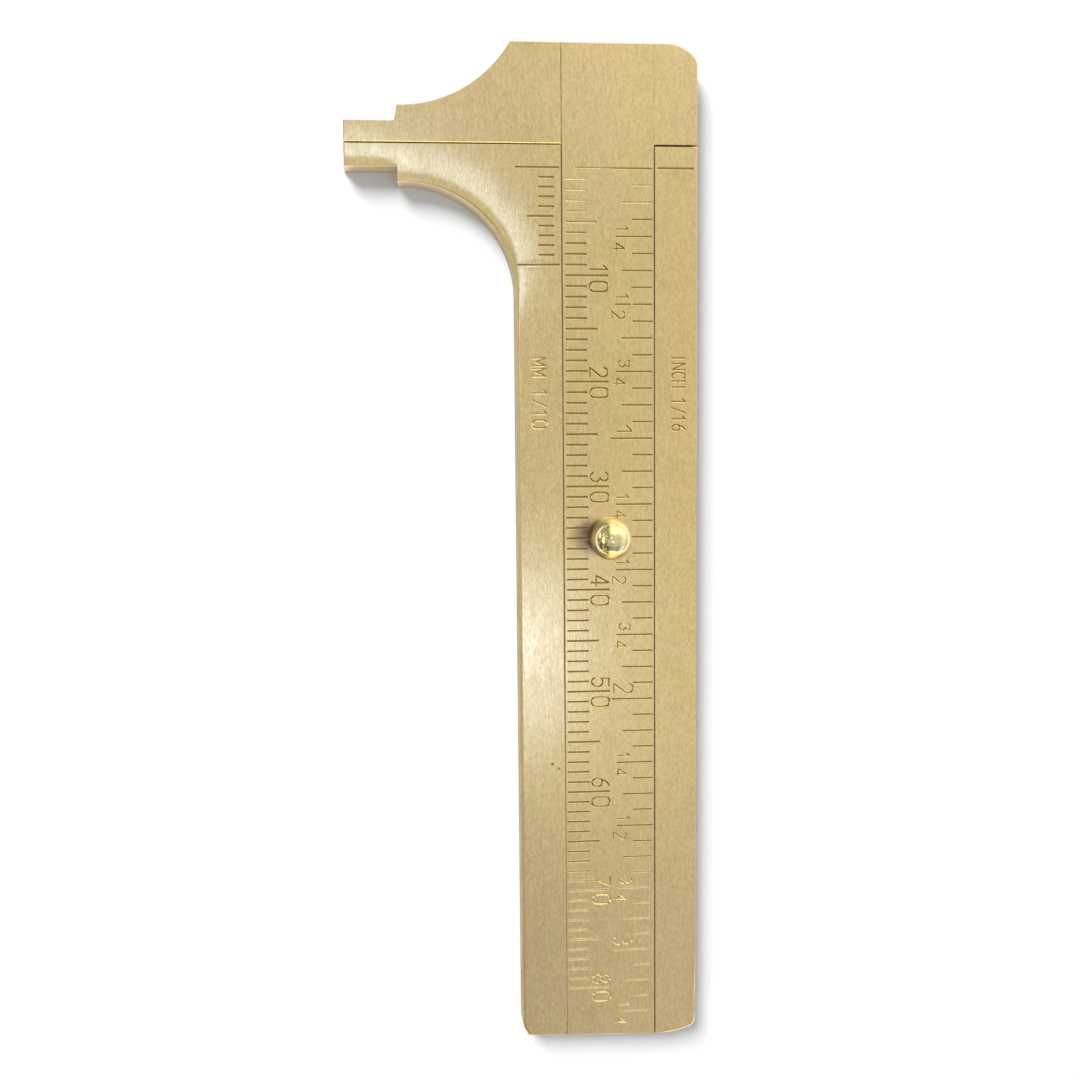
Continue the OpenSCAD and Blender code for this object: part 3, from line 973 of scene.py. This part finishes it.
def knob_piece():
    b = Builder()
    c, r = BODY_T + KNOB_RISE, KNOB_D / 2
    neck = NECK_D / 2
    a0 = -math.degrees(math.acos(neck / r)) + 3
    ball = arc_points(0, c, r, r, a0, 88.5, 48)
    prof = [(0.0, FOOT + 0.01), (SHANK_D / 2 + 0.3, FOOT + 0.01), (SHANK_D / 2 + 0.37, FOOT + 0.03),
            (SHANK_D / 2 - 0.004, FOOT + 0.4), (SHANK_D / 2 - 0.004, BODY_T), (neck + 0.2, BODY_T),
            (neck + 0.2, BODY_T + 0.05), (neck + 0.12, BODY_T + 0.1), (neck + 0.03, BODY_T + 0.13)]
    prof += [(x, z) for x, z in ball if z > BODY_T + 0.16]
    prof.append((0.0, c + r))
    # The ball is polished on top and dull below; the dull lower ring takes the painted wall colours, a painted pale
    # reflection on its right and painted shade on its left
    rims = [0.0 if z < BODY_T else 1 - float(smooth((math.degrees(math.atan2(z - c, max(x, 1e-6))) - 20) / 24))
            for x, z in prof]
    lathe(b, MIDDLE, KNOB_Y, prof, 96, rims)
    return b.object("thumb_knob_turned")


def spring_piece():
    """A bowed leaf with rounded long edges"""
    b = Builder()
    n, lo, hi = 40, PLATE_T + 0.04, POCKET_TOP - SPRING_T
    length = POCKET_L - 0.4

    def bow(t):
        if t < 0.3:
            return 0.0
        if t < 0.68:
            return (1 - math.cos(math.pi * (t - 0.3) / 0.38)) / 2
        return 1 - 0.35 * (t - 0.68) / 0.32

    def section(t, y, z):
        w, h, r = SPRING_W / 2, SPRING_T, 0.045
        end = min(1.0, (1 - t) / 0.08) if t > 0.92 else min(1.0, t / 0.05) if t < 0.05 else 1.0
        w = w - 0.35 * (1 - math.sqrt(max(0.0, 1 - (1 - end) ** 2)))
        x0, x1 = ROOT[0] - w, ROOT[0] + w
        run = []
        for cx, cz, a in ((x1 - r, z + h - r, 0), (x0 + r, z + h - r, 90), (x0 + r, z + r, 180), (x1 - r, z + r, 270)):
            run += [(cx + r * math.cos(math.radians(a + d)), y, cz + r * math.sin(math.radians(a + d)))
                    for d in (0, 45, 90)]
        return [b.vert(*q) for q in run]

    rings = [section(i / n, POCKET_Y + 0.2 + length * i / n, hi + (lo - hi) * bow(i / n)) for i in range(n + 1)]
    for a, c in zip(rings, rings[1:]):
        b.strip(a, c)
    for q, flip in ((rings[0], False), (rings[-1], True)):
        m = np.array([b.v[i] for i in q]).mean(0)
        b.fan(q, b.vert(*m), flip)
    return b.object("friction_spring_bowed")


def spring_rivet_piece():
    b = Builder()
    z = POCKET_TOP - SPRING_T
    lathe(b, ROOT[0], ROOT[1], [(0.0, z - 0.14), (0.25, z - 0.135), (0.45, z - 0.105), (0.58, z - 0.055),
                                (0.64, z - 0.005), (0.345, z), (0.345, z + SPRING_T + 0.48),
                                (0.0, z + SPRING_T + 0.48)], 32)
    return b.object("spring_rivet_domed")


# ----------------------------------------------------------------------------
# Materials
# ----------------------------------------------------------------------------
def ramp(nt, source, stops):
    r = nt.nodes.new("ShaderNodeValToRGB")
    e = r.color_ramp.elements
    while len(e) < len(stops):
        e.new(0.5)
    for el, (pos, col) in zip(e, stops):
        el.position = pos
        el.color = (*col, 1.0) if len(col) == 3 else col
    nt.links.new(source, r.inputs["Fac"])
    return r.outputs["Color"]


def maths(nt, op, a, b=None, clamp=False):
    n = nt.nodes.new("ShaderNodeMath")
    n.operation, n.use_clamp = op, clamp
    for i, v in enumerate((a, b)):
        if v is None:
            continue
        if isinstance(v, (int, float)):
            n.inputs[i].default_value = v
        else:
            nt.links.new(v, n.inputs[i])
    return n.outputs[0]


def remap(nt, source, lo, hi, a, b):
    n = nt.nodes.new("ShaderNodeMapRange")
    nt.links.new(source, n.inputs["Value"])
    for k, v in (("From Min", lo), ("From Max", hi), ("To Min", a), ("To Max", b)):
        n.inputs[k].default_value = v
    return n.outputs["Result"]


def mix(nt, kind, fac, a, b):
    n = nt.nodes.new("ShaderNodeMix")
    n.data_type, n.blend_type = "RGBA", kind
    socks = {s.identifier: s for s in n.inputs}
    for key, v in (("Factor_Float", fac), ("A_Color", a), ("B_Color", b)):
        s = socks[key]
        if isinstance(v, (int, float)):
            s.default_value = v
        elif isinstance(v, tuple):
            s.default_value = (*v, 1.0) if len(v) == 3 else v
        else:
            nt.links.new(v, s)
    return [s for s in n.outputs if s.identifier == "Result_Color"][0]


def brass(name, base, dark, grain=1.0, rough=0.175, polish=False, wall_shade_share=0.8, painted_knob_shadow=False,
          wall_colours_and_painted_shade=((0.84, 0.66, 0.38), (0.93, 0.76, 0.56), (0.33, 0.26, 0.185)), painted_shade_facing=(-0.5, -0.92)):
    """Brushed brass: grain along Y, faint stains, tarnish in the engraving, and
    duller sawn walls with painted shade by facing (paler facing the tail, darker facing the jaws' side); optionally a
    painted shadow and dark reflection of the knob beside its foot"""
    m = bpy.data.materials.new(name)
    m.use_nodes = True
    nt = m.node_tree
    nt.nodes.clear()
    out = nt.nodes.new("ShaderNodeOutputMaterial")
    p = nt.nodes.new("ShaderNodeBsdfPrincipled")
    nt.links.new(p.outputs[0], out.inputs[0])
    p.inputs["Metallic"].default_value = 1.0
    tc = nt.nodes.new("ShaderNodeTexCoord")

    def noise(sx, sy, sz, detail=3.0, rough_=0.55, seed=0.0):
        mp = nt.nodes.new("ShaderNodeMapping")
        mp.inputs["Scale"].default_value = (sx, sy, sz)
        mp.inputs["Location"].default_value = (seed * 1.7, seed * 2.3, seed)
        nt.links.new(tc.outputs["Object"], mp.inputs["Vector"])
        n = nt.nodes.new("ShaderNodeTexNoise")
        n.inputs["Scale"].default_value = 1.0
        n.inputs["Detail"].default_value = detail
        n.inputs["Roughness"].default_value = rough_
        nt.links.new(mp.outputs[0], n.inputs["Vector"])
        return n.outputs["Fac"]

    across, length = (2600.0, 2600.0) if polish else (4600.0, 900.0)
    fine = noise(across * 1.5, length * 1.5, length * 1.5, 2.0, 0.6, 3.1)
    wide = noise(across * 0.42, length * 0.3, length, 3.0, 0.6, 7.7)
    speckle = noise(6800.0, 2400.0, 5000.0, 1.0, 0.5, 4.4)
    spots = noise(420.0, 300.0, 420.0, 4.0, 0.62, 1.3)
    stain = noise(70.0, 45.0, 70.0, 3.0, 0.55, 5.9)
    hue = noise(380.0, 300.0, 380.0, 2.0, 0.5, 9.4)
    streak = maths(nt, "ADD", maths(nt, "MULTIPLY", fine, 0.55), maths(nt, "MULTIPLY", wide, 0.45))
    tone = maths(nt, "ADD", maths(nt, "MULTIPLY", speckle, 0.65), maths(nt, "MULTIPLY", streak, 0.35))
    colour = mix(nt, "MIX", remap(nt, tone, 0.36, 0.64, 0.0, 1.0), dark, base)
    colour = mix(nt, "MULTIPLY", 0.3, colour,
                 ramp(nt, stain, [(0.3, (0.92, 0.89, 0.83)), (0.5, (1, 1, 1)), (0.72, (1.0, 0.985, 0.95))]))
    colour = mix(nt, "MULTIPLY", 0.35, colour,
                 ramp(nt, hue, [(0.34, (0.96, 1.0, 0.9)), (0.5, (1, 1, 1)), (0.66, (1.0, 0.95, 1.0))]))
    colour = mix(nt, "MULTIPLY", 0.35, colour,
                 ramp(nt, spots, [(0.3, (0.84, 0.81, 0.76)), (0.46, (1, 1, 1)), (0.7, (1, 1, 1)), (0.8, (0.95, 0.93, 0.88))]))
    if painted_knob_shadow:
        # A painted shadow and dark reflection of the knob: a dark ring on the bar beside the knob's foot
        at_knob = nt.nodes.new("ShaderNodeVectorMath")
        at_knob.operation = "DISTANCE"
        centre = (np.array([MIDDLE - 1.95, KNOB_Y + 0.2, BODY_T]) + SHIFT) * 0.001
        nt.links.new(tc.outputs["Object"], at_knob.inputs[0])
        at_knob.inputs[1].default_value = tuple(centre)
        ringed = nt.nodes.new("ShaderNodeMapRange")
        ringed.interpolation_type = "SMOOTHSTEP"
        nt.links.new(at_knob.outputs["Value"], ringed.inputs["Value"])
        for k, v in (("From Min", 0.0005), ("From Max", 0.0023), ("To Min", 0.92), ("To Max", 0.0)):
            ringed.inputs[k].default_value = v
        amount = maths(nt, "MULTIPLY", ringed.outputs["Result"], remap(nt, spots, 0.3, 0.6, 1.15, 0.8), True)
        colour = mix(nt, "MIX", amount, colour, (0.19, 0.12, 0.09))
    ar = nt.nodes.new("ShaderNodeAttribute")
    ar.attribute_name = "rim"
    wall = remap(nt, ar.outputs["Fac"], 0.03, 0.55, 0.0, 1.0)
    # Painted shade by facing: the walls facing the tail are painted paler than the others, those facing the side of the
    # jaws painted darker
    facing = nt.nodes.new("ShaderNodeNewGeometry")
    to_x = nt.nodes.new("ShaderNodeSeparateXYZ")
    nt.links.new(facing.outputs["True Normal"], to_x.inputs[0])
    wall_colour_and_shade = mix(nt, "MIX", remap(nt, to_x.outputs["Y"], -0.2, -0.8, 0.0, 1.0), *wall_colours_and_painted_shade[:2])
    wall_colour_and_shade = mix(nt, "MIX", remap(nt, to_x.outputs["X"], *painted_shade_facing, 0.0, 1.0), wall_colour_and_shade, wall_colours_and_painted_shade[2])
    colour = mix(nt, "MIX", maths(nt, "MULTIPLY", wall, remap(nt, spots, 0.35, 0.65, wall_shade_share, wall_shade_share * 0.75), True),
                 colour, wall_colour_and_shade)
    at = nt.nodes.new("ShaderNodeAttribute")
    at.attribute_name = "groove"
    g = remap(nt, at.outputs["Fac"], 0.07, 0.36, 0.0, 1.0)
    colour = mix(nt, "MIX", maths(nt, "MULTIPLY", g, 0.8, True), colour, (0.24, 0.145, 0.014))
    nt.links.new(colour, p.inputs["Base Color"])
    r = remap(nt, streak, 0.36, 0.64, rough - 0.03 * grain, rough + 0.045 * grain)
    r = maths(nt, "ADD", r, remap(nt, spots, 0.3, 0.7, 0.02 * grain, -0.02 * grain))
    r = maths(nt, "ADD", r, maths(nt, "MULTIPLY", wall, 0.3))
    r = maths(nt, "ADD", r, maths(nt, "MULTIPLY", g, 0.1), True)
    nt.links.new(r, p.inputs["Roughness"])
    bump = nt.nodes.new("ShaderNodeBump")
    bump.inputs["Strength"].default_value = 1.0
    bump.inputs["Distance"].default_value = 0.62e-5 * grain
    nt.links.new(streak, bump.inputs["Height"])
    nt.links.new(bump.outputs[0], p.inputs["Normal"])
    return m


BASE, DARK = (0.985, 0.772, 0.347), (0.79, 0.62, 0.272)
m_face = brass("brass_face_brushed", BASE, DARK)
# The bar's material carries the painted shadow of the knob beside its foot
m_bar = brass("brass_scale_brushed", BASE, DARK, painted_knob_shadow=True)
m_back = brass("brass_back_brushed", (0.86, 0.67, 0.32), (0.76, 0.585, 0.275), 1.3, 0.22)
m_rivet = brass("brass_rivet_filed", (0.82, 0.62, 0.29), (0.70, 0.52, 0.23), 1.2, 0.24, wall_shade_share=0.2)
# The knob's wall colours are painted: a pale reflection on its right side, shade on its left
m_knob = brass("brass_polished_turned", (0.97, 0.85, 0.42), (0.93, 0.81, 0.39), 0.06, 0.06, polish=True, wall_shade_share=0.9,
               wall_colours_and_painted_shade=((1.0, 0.98, 0.82), (1.0, 0.98, 0.82), (0.46, 0.38, 0.31)), painted_shade_facing=(-0.15, -0.8))
m_spring = brass("bronze_spring_strip", (0.60, 0.36, 0.19), (0.50, 0.29, 0.14), 0.5, 0.3, wall_shade_share=0.2)

# ----------------------------------------------------------------------------
# Pieces
# ----------------------------------------------------------------------------
PIECES = [
    (face_piece("fixed_jaw_rail", shape_fixed_jaw(), ticks_jaw(), RIVETS_L, True), "fixed_jaw_rail", "frame", "brass_face", m_face),
    (face_piece("index_rail", shape_index_rail(), ticks_index(), RIVETS_R, False), "index_rail", "frame", "brass_face", m_face),
    (plate_piece("frame_back", shape_frame_plate(), RIVETS_L + RIVETS_R, [STOP_P]), "frame_back_plate", "frame", "brass_back", m_back),
    (rivets_piece("frame_rivets_filed", RIVETS_L + RIVETS_R), "frame_rivets", "frame", "brass_rivet", m_rivet),
    (pin_piece(), "stop_pin", "frame", "brass_rivet", m_rivet),
    (bar_piece(), "scale_bar", "slide", "brass_face", m_bar),
    (face_piece("sliding_jaw", shape_sliding_jaw(), [], HEAD_L, True), "sliding_jaw", "slide", "brass_face", m_face),
    (face_piece("head_cheek", shape_head_cheek(), [], HEAD_R, False), "head_cheek", "slide", "brass_face", m_face),
    (plate_piece("head_back", shape_head_plate(), HEAD_L + HEAD_R + HEAD_C), "head_back_plate", "slide", "brass_back", m_back),
    (rivets_piece("head_rivets_filed", HEAD_L + HEAD_R + HEAD_C), "head_rivets", "slide", "brass_rivet", m_rivet),
    (knob_piece(), "thumb_knob", "slide", "brass_polished", m_knob),
    (spring_piece(), "friction_spring", "slide", "spring_bronze", m_spring),
    (spring_rivet_piece(), "spring_rivet", "slide", "brass_rivet", m_rivet),
]
for obj, cad, body, slot, material in PIECES:
    obj.data.materials.append(material)
    if obj.name != cad + "_made":
        obj.name = {"fixed_jaw_rail": "fixed_jaw_engraved", "index_rail": "index_rail_engraved",
                    "sliding_jaw": "sliding_jaw_brushed", "head_cheek": "head_cheek_brushed"}.get(cad, obj.name)
    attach(obj, body)
    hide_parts(cad)
    print(f"{obj.name}: {len(obj.data.vertices)} vertices, {len(obj.data.polygons)} faces, {obj['open_edges']} open edges")

# ----------------------------------------------------------------------------
# Floor, camera, lights
# ----------------------------------------------------------------------------
floor_mesh = bpy.data.meshes.new("floor")
floor_mesh.from_pydata([(-0.6, -0.6, -0.00002), (0.6, -0.6, -0.00002), (0.6, 0.6, -0.00002), (-0.6, 0.6, -0.00002)], [], [(0, 1, 2, 3)])
floor = bpy.data.objects.new("floor", floor_mesh)
bpy.context.scene.collection.objects.link(floor)
fm = bpy.data.materials.new("floor_white")
fm.use_nodes = True
fp = fm.node_tree.nodes["Principled BSDF"]
fp.inputs["Base Color"].default_value = (0.86, 0.87, 0.88, 1)
fp.inputs["Roughness"].default_value = 0.9
fp.inputs["Specular IOR Level"].default_value = 0.1
floor_mesh.materials.append(fm)

# Camera: the photograph's viewpoint, a short distance above the face
ROT = np.array([[0.99796578, 0.00868252, -0.06315794],
                [-0.01317072, 0.99738951, -0.07099783],
                [0.06237662, 0.07168524, 0.99547495]])
OFF = np.array([2.0051, -35.0323, 94.0126])
eye = -ROT.T @ OFF
eye = np.array([eye[0] + 3.65, 36.825 - eye[1], 2.4 - eye[2]]) * 0.001
right = np.array([ROT[0][0], -ROT[0][1], -ROT[0][2]])
down = np.array([ROT[1][0], -ROT[1][1], -ROT[1][2]])
ahead = np.array([ROT[2][0], -ROT[2][1], -ROT[2][2]])
cam = bpy.data.cameras.new("camera")
cam.type, cam.sensor_width, cam.lens = "PERSP", 36.0, 36.0 * 1000 / 1080
cam.clip_start, cam.clip_end = 0.005, 50
cam_obj = bpy.data.objects.new("camera", cam)
bpy.context.scene.collection.objects.link(cam_obj)
cam_obj.matrix_world = Matrix(((right[0], -down[0], -ahead[0], eye[0]), (right[1], -down[1], -ahead[1], eye[1]),
                               (right[2], -down[2], -ahead[2], eye[2]), (0, 0, 0, 1)))
bpy.context.scene.camera = cam_obj


def softbox(name, direction, distance, size, power, colour, shape="DISK", target=(0.0, 0.0, 0.0024), size_y=None):
    """An area light in that direction, in degrees off the vertical towards +X and +Y"""
    light = bpy.data.lights.new(name, "AREA")
    light.shape = shape
    light.size = size
    if size_y:
        light.size_y = size_y
    light.energy, light.color = power, colour
    o = bpy.data.objects.new(name, light)
    bpy.context.scene.collection.objects.link(o)
    t = Vector(target)
    d = Vector((math.tan(math.radians(direction[0])), math.tan(math.radians(direction[1])), 1)).normalized()
    o.location = t + d * distance
    o.rotation_mode = "QUATERNION"
    o.rotation_quaternion = d.to_track_quat("Z", "Y")
    return o


key = softbox("key", (-32, 48.5), 6.0, 3.0, 490, (1, 1, 0.99), "ELLIPSE", size_y=4.0)
key.visible_glossy = False

world = bpy.data.worlds.new("studio")
bpy.context.scene.world = world
world.use_nodes = True
wn = world.node_tree
wn.nodes.clear()
w_out = wn.nodes.new("ShaderNodeOutputWorld")
tc = wn.nodes.new("ShaderNodeTexCoord")
sep = wn.nodes.new("ShaderNodeSeparateXYZ")
wn.links.new(tc.outputs["Generated"], sep.inputs[0])


def wm(op, a, b=None, clamp=False):
    return maths(wn, op, a, b, clamp)


def curve(t, stops):
    """A smooth curve of t between -1 and 1 through (t, grey value)"""
    r = wn.nodes.new("ShaderNodeValToRGB")
    e = r.color_ramp.elements
    while len(e) < len(stops):
        e.new(0.5)
    r.color_ramp.interpolation = "B_SPLINE" if len(stops) > 3 else "EASE"
    for el, (pos, v) in zip(e, stops):
        el.position = (pos + 1) / 2
        el.color = (v, v, v, 1)
    wn.links.new(remap(wn, t, -1.0, 1.0, 0.0, 1.0), r.inputs["Fac"])
    return r.outputs["Color"]


def fade(t, lo, hi, a=1.0, b=0.0):
    n = wn.nodes.new("ShaderNodeMapRange")
    n.interpolation_type = "SMOOTHSTEP"
    wn.links.new(t, n.inputs["Value"])
    for k, v in (("From Min", lo), ("From Max", hi), ("To Min", a), ("To Max", b)):
        n.inputs[k].default_value = v
    return n.outputs["Result"]


def plus(*parts):
    total = parts[0]
    for q in parts[1:]:
        total = wm("ADD", total, q)
    return total


# Directions: tx and ty are tangents off the vertical, u and v go to 1 at the horizon
dz = wm("MAXIMUM", sep.outputs["Z"], 0.02)
tx = wm("DIVIDE", sep.outputs["X"], dz)
ty = wm("DIVIDE", sep.outputs["Y"], dz)
half = wm("ADD", dz, 1.0)
u = wm("DIVIDE", sep.outputs["X"], half)
v = wm("DIVIDE", sep.outputs["Y"], half)
# The ceiling
down_y = curve(ty, [(-1.0, 0.3), (-0.72, 0.52), (-0.6, 0.53), (-0.45, 0.5), (-0.39, 0.52), (-0.345, 0.595), (-0.3, 0.595),
                    (-0.05, 0.565), (0.1, 0.565), (0.25, 0.585), (0.32, 0.62), (0.42, 0.735), (0.6, 0.76), (1.0, 0.76)])
across_x = curve(tx, [(-1.0, 0.74), (-0.12, 0.74), (0.0, 0.76), (0.05, 0.79), (0.1, 0.93), (0.15, 0.99), (0.2, 1.1), (0.32, 1.5), (0.5, 1.7), (1.0, 1.7)])
ceiling = wm("MULTIPLY", wm("MULTIPLY", down_y, across_x), 1.06)
# The dark side of the room, with a window and smaller lamps
side = curve(u, [(-1.0, 0.26), (-0.22, 0.22), (-0.16, 0.34), (-0.1, 0.97), (-0.06, 1.0), (1.0, 1.0)])
speck = wn.nodes.new("ShaderNodeTexNoise")
speck.inputs["Scale"].default_value = 4.5
speck.inputs["Detail"].default_value = 2.0
speck.inputs["Roughness"].default_value = 0.6
wn.links.new(tc.outputs["Generated"], speck.inputs["Vector"])
patch = remap(wn, speck.outputs["Fac"], 0.5, 0.6, 0.0, 1.0)
left = wm("SUBTRACT", 1.0, side)
lamps = wm("MULTIPLY", wm("MULTIPLY", patch, left), 0.6)
window = wm("MULTIPLY", curve(u, [(-0.56, 0.0), (-0.52, 1.0), (-0.44, 1.0), (-0.4, 0.0)]),
            curve(v, [(-0.22, 0.0), (-0.14, 1.0), (0.08, 1.0), (0.14, 0.0)]))
window2 = wm("MULTIPLY", curve(u, [(-0.86, 0.0), (-0.8, 1.0), (-0.7, 1.0), (-0.66, 0.0)]),
             curve(v, [(0.08, 0.0), (0.14, 1.0), (0.34, 1.0), (0.42, 0.0)]))
windows = wm("ADD", wm("MULTIPLY", window, 1.9), wm("MULTIPLY", window2, 1.6))
# Bright walls beyond the head, a dim one beyond the tail, a lit corner
walls = curve(v, [(-1.0, 1.75), (-0.76, 1.4), (-0.66, 0.2), (-0.6, 0.0), (-0.3, 0.0), (0.0, 0.0), (0.12, 0.0), (0.2, 0.0), (0.26, 0.0),
                  (0.34, 0.55), (0.5, 0.78), (0.8, 0.5), (1.0, 0.4)])
strip = wm("MULTIPLY", curve(v, [(-0.78, 0.0), (-0.72, 0.6), (-0.66, 1.5), (-0.6, 0.3), (-0.54, 0.0)]), fade(u, 0.08, 0.26, 1.0, 0.0))
corner = wm("MULTIPLY", fade(u, 0.3, 0.55, 0.0, 1.0), fade(v, -0.55, -0.2, 1.0, 0.0))
base = plus(wm("MULTIPLY", ceiling, side), lamps, windows, wm("MULTIPLY", wm("ADD", walls, strip), side))
# More blue above the tail and above the head
bluer = wm("MULTIPLY", wm("MULTIPLY", ceiling, side),
           curve(ty, [(-1.0, 0.22), (-0.5, 0.22), (-0.4, 0.16), (-0.3, 0.0), (0.2, 0.0), (0.36, 0.1), (0.5, 0.14), (1.0, 0.14)]))
# Far from the vertical everything is warmer
low = wm("SQRT", wm("ADD", wm("MULTIPLY", u, u), wm("MULTIPLY", v, v)))
low_sky = fade(low, 0.3, 0.45, 0.0, 1.0)
# The right side is pale, down to a darker skirting
pale = fade(u, 0.3, 0.6, 0.0, 1.0)
skirting = wm("SUBTRACT", 1.0, wm("MULTIPLY", fade(low, 0.84, 0.97, 0.0, 0.5), fade(u, 0.1, 0.4, 0.0, 1.0)))


def tinted(amount, colour):
    n = wn.nodes.new("ShaderNodeVectorMath")
    n.operation = "SCALE"
    n.inputs[0].default_value = colour
    wn.links.new(amount, n.inputs["Scale"])
    return n.outputs[0]


def added(a, b):
    n = wn.nodes.new("ShaderNodeVectorMath")
    n.operation = "ADD"
    wn.links.new(a, n.inputs[0])
    wn.links.new(b, n.inputs[1])
    return n.outputs[0]


# The lamp over the rail: round, longer towards the tail
dx = wm("SUBTRACT", tx, 0.0175)
dy = wm("ADD", ty, 0.17)
dy = wm("ADD", wm("MAXIMUM", dy, 0.0), wm("MULTIPLY", wm("MINIMUM", dy, 0.0), 0.66))
lamp_r = wm("SQRT", wm("ADD", wm("MULTIPLY", dx, dx), wm("MULTIPLY", dy, dy)))
lamp_rail = added(tinted(fade(lamp_r, 0.028, 0.1), (1.07, 1.42, 2.5)), tinted(fade(lamp_r, 0.024, 0.072), (0.0, 0.1, 1.15)))
# The lamp over the jaw: a short strip
lamp_jaw = tinted(wm("MULTIPLY", curve(tx, [(-0.19, 0.0), (-0.15, 1.0), (-0.06, 1.0), (-0.03, 0.32), (0.02, 0.0), (0.03, 0.0)]),
                     curve(ty, [(0.12, 0.0), (0.15, 0.6), (0.18, 1.0), (0.235, 1.0), (0.265, 0.6), (0.295, 0.0)])),
                  (0.95, 1.36, 3.0))
soft = wn.nodes.new("ShaderNodeMix")
soft.data_type = "VECTOR"
wn.links.new(low_sky, soft.inputs[0])
wn.links.new(tinted(base, (1.03, 1.0, 1.0)), soft.inputs[4])
wn.links.new(tinted(base, (1.0, 0.95, 0.8)), soft.inputs[5])
sky = added(added(lamp_rail, lamp_jaw), soft.outputs[1])
sky = added(added(sky, tinted(bluer, (0.0, 0.0, 1.0))), tinted(corner, (0.25, 0.3, 0.6)))
sky = added(sky, tinted(pale, (0.3, 0.36, 0.55)))
dimmed = wn.nodes.new("ShaderNodeVectorMath")
dimmed.operation = "SCALE"
wn.links.new(sky, dimmed.inputs[0])
wn.links.new(skirting, dimmed.inputs["Scale"])
sky = dimmed.outputs[0]
mirror = wn.nodes.new("ShaderNodeBackground")
wn.links.new(sky, mirror.inputs["Color"])
plain = wn.nodes.new("ShaderNodeBackground")
plain.inputs["Color"].default_value = (0.97, 0.985, 1.0, 1)
plain.inputs["Strength"].default_value = 0.52
white = wn.nodes.new("ShaderNodeBackground")
white.inputs["Color"].default_value = (1.0, 1.0, 1.0, 1)
white.inputs["Strength"].default_value = 1.0
lp = wn.nodes.new("ShaderNodeLightPath")
# The brass shows the studio, but what it throws back on to the floor is plain
direct = wm("MULTIPLY", lp.outputs["Is Glossy Ray"], wm("LESS_THAN", lp.outputs["Diffuse Depth"], 0.5))
m1 = wn.nodes.new("ShaderNodeMixShader")
wn.links.new(direct, m1.inputs[0])
wn.links.new(plain.outputs[0], m1.inputs[1])
wn.links.new(mirror.outputs[0], m1.inputs[2])
m2 = wn.nodes.new("ShaderNodeMixShader")
wn.links.new(lp.outputs["Is Camera Ray"], m2.inputs[0])
wn.links.new(m1.outputs[0], m2.inputs[1])
wn.links.new(white.outputs[0], m2.inputs[2])
wn.links.new(m2.outputs[0], w_out.inputs[0])

bpy.context.scene.view_settings.view_transform = "Standard"
bpy.context.scene.view_settings.look = "None"
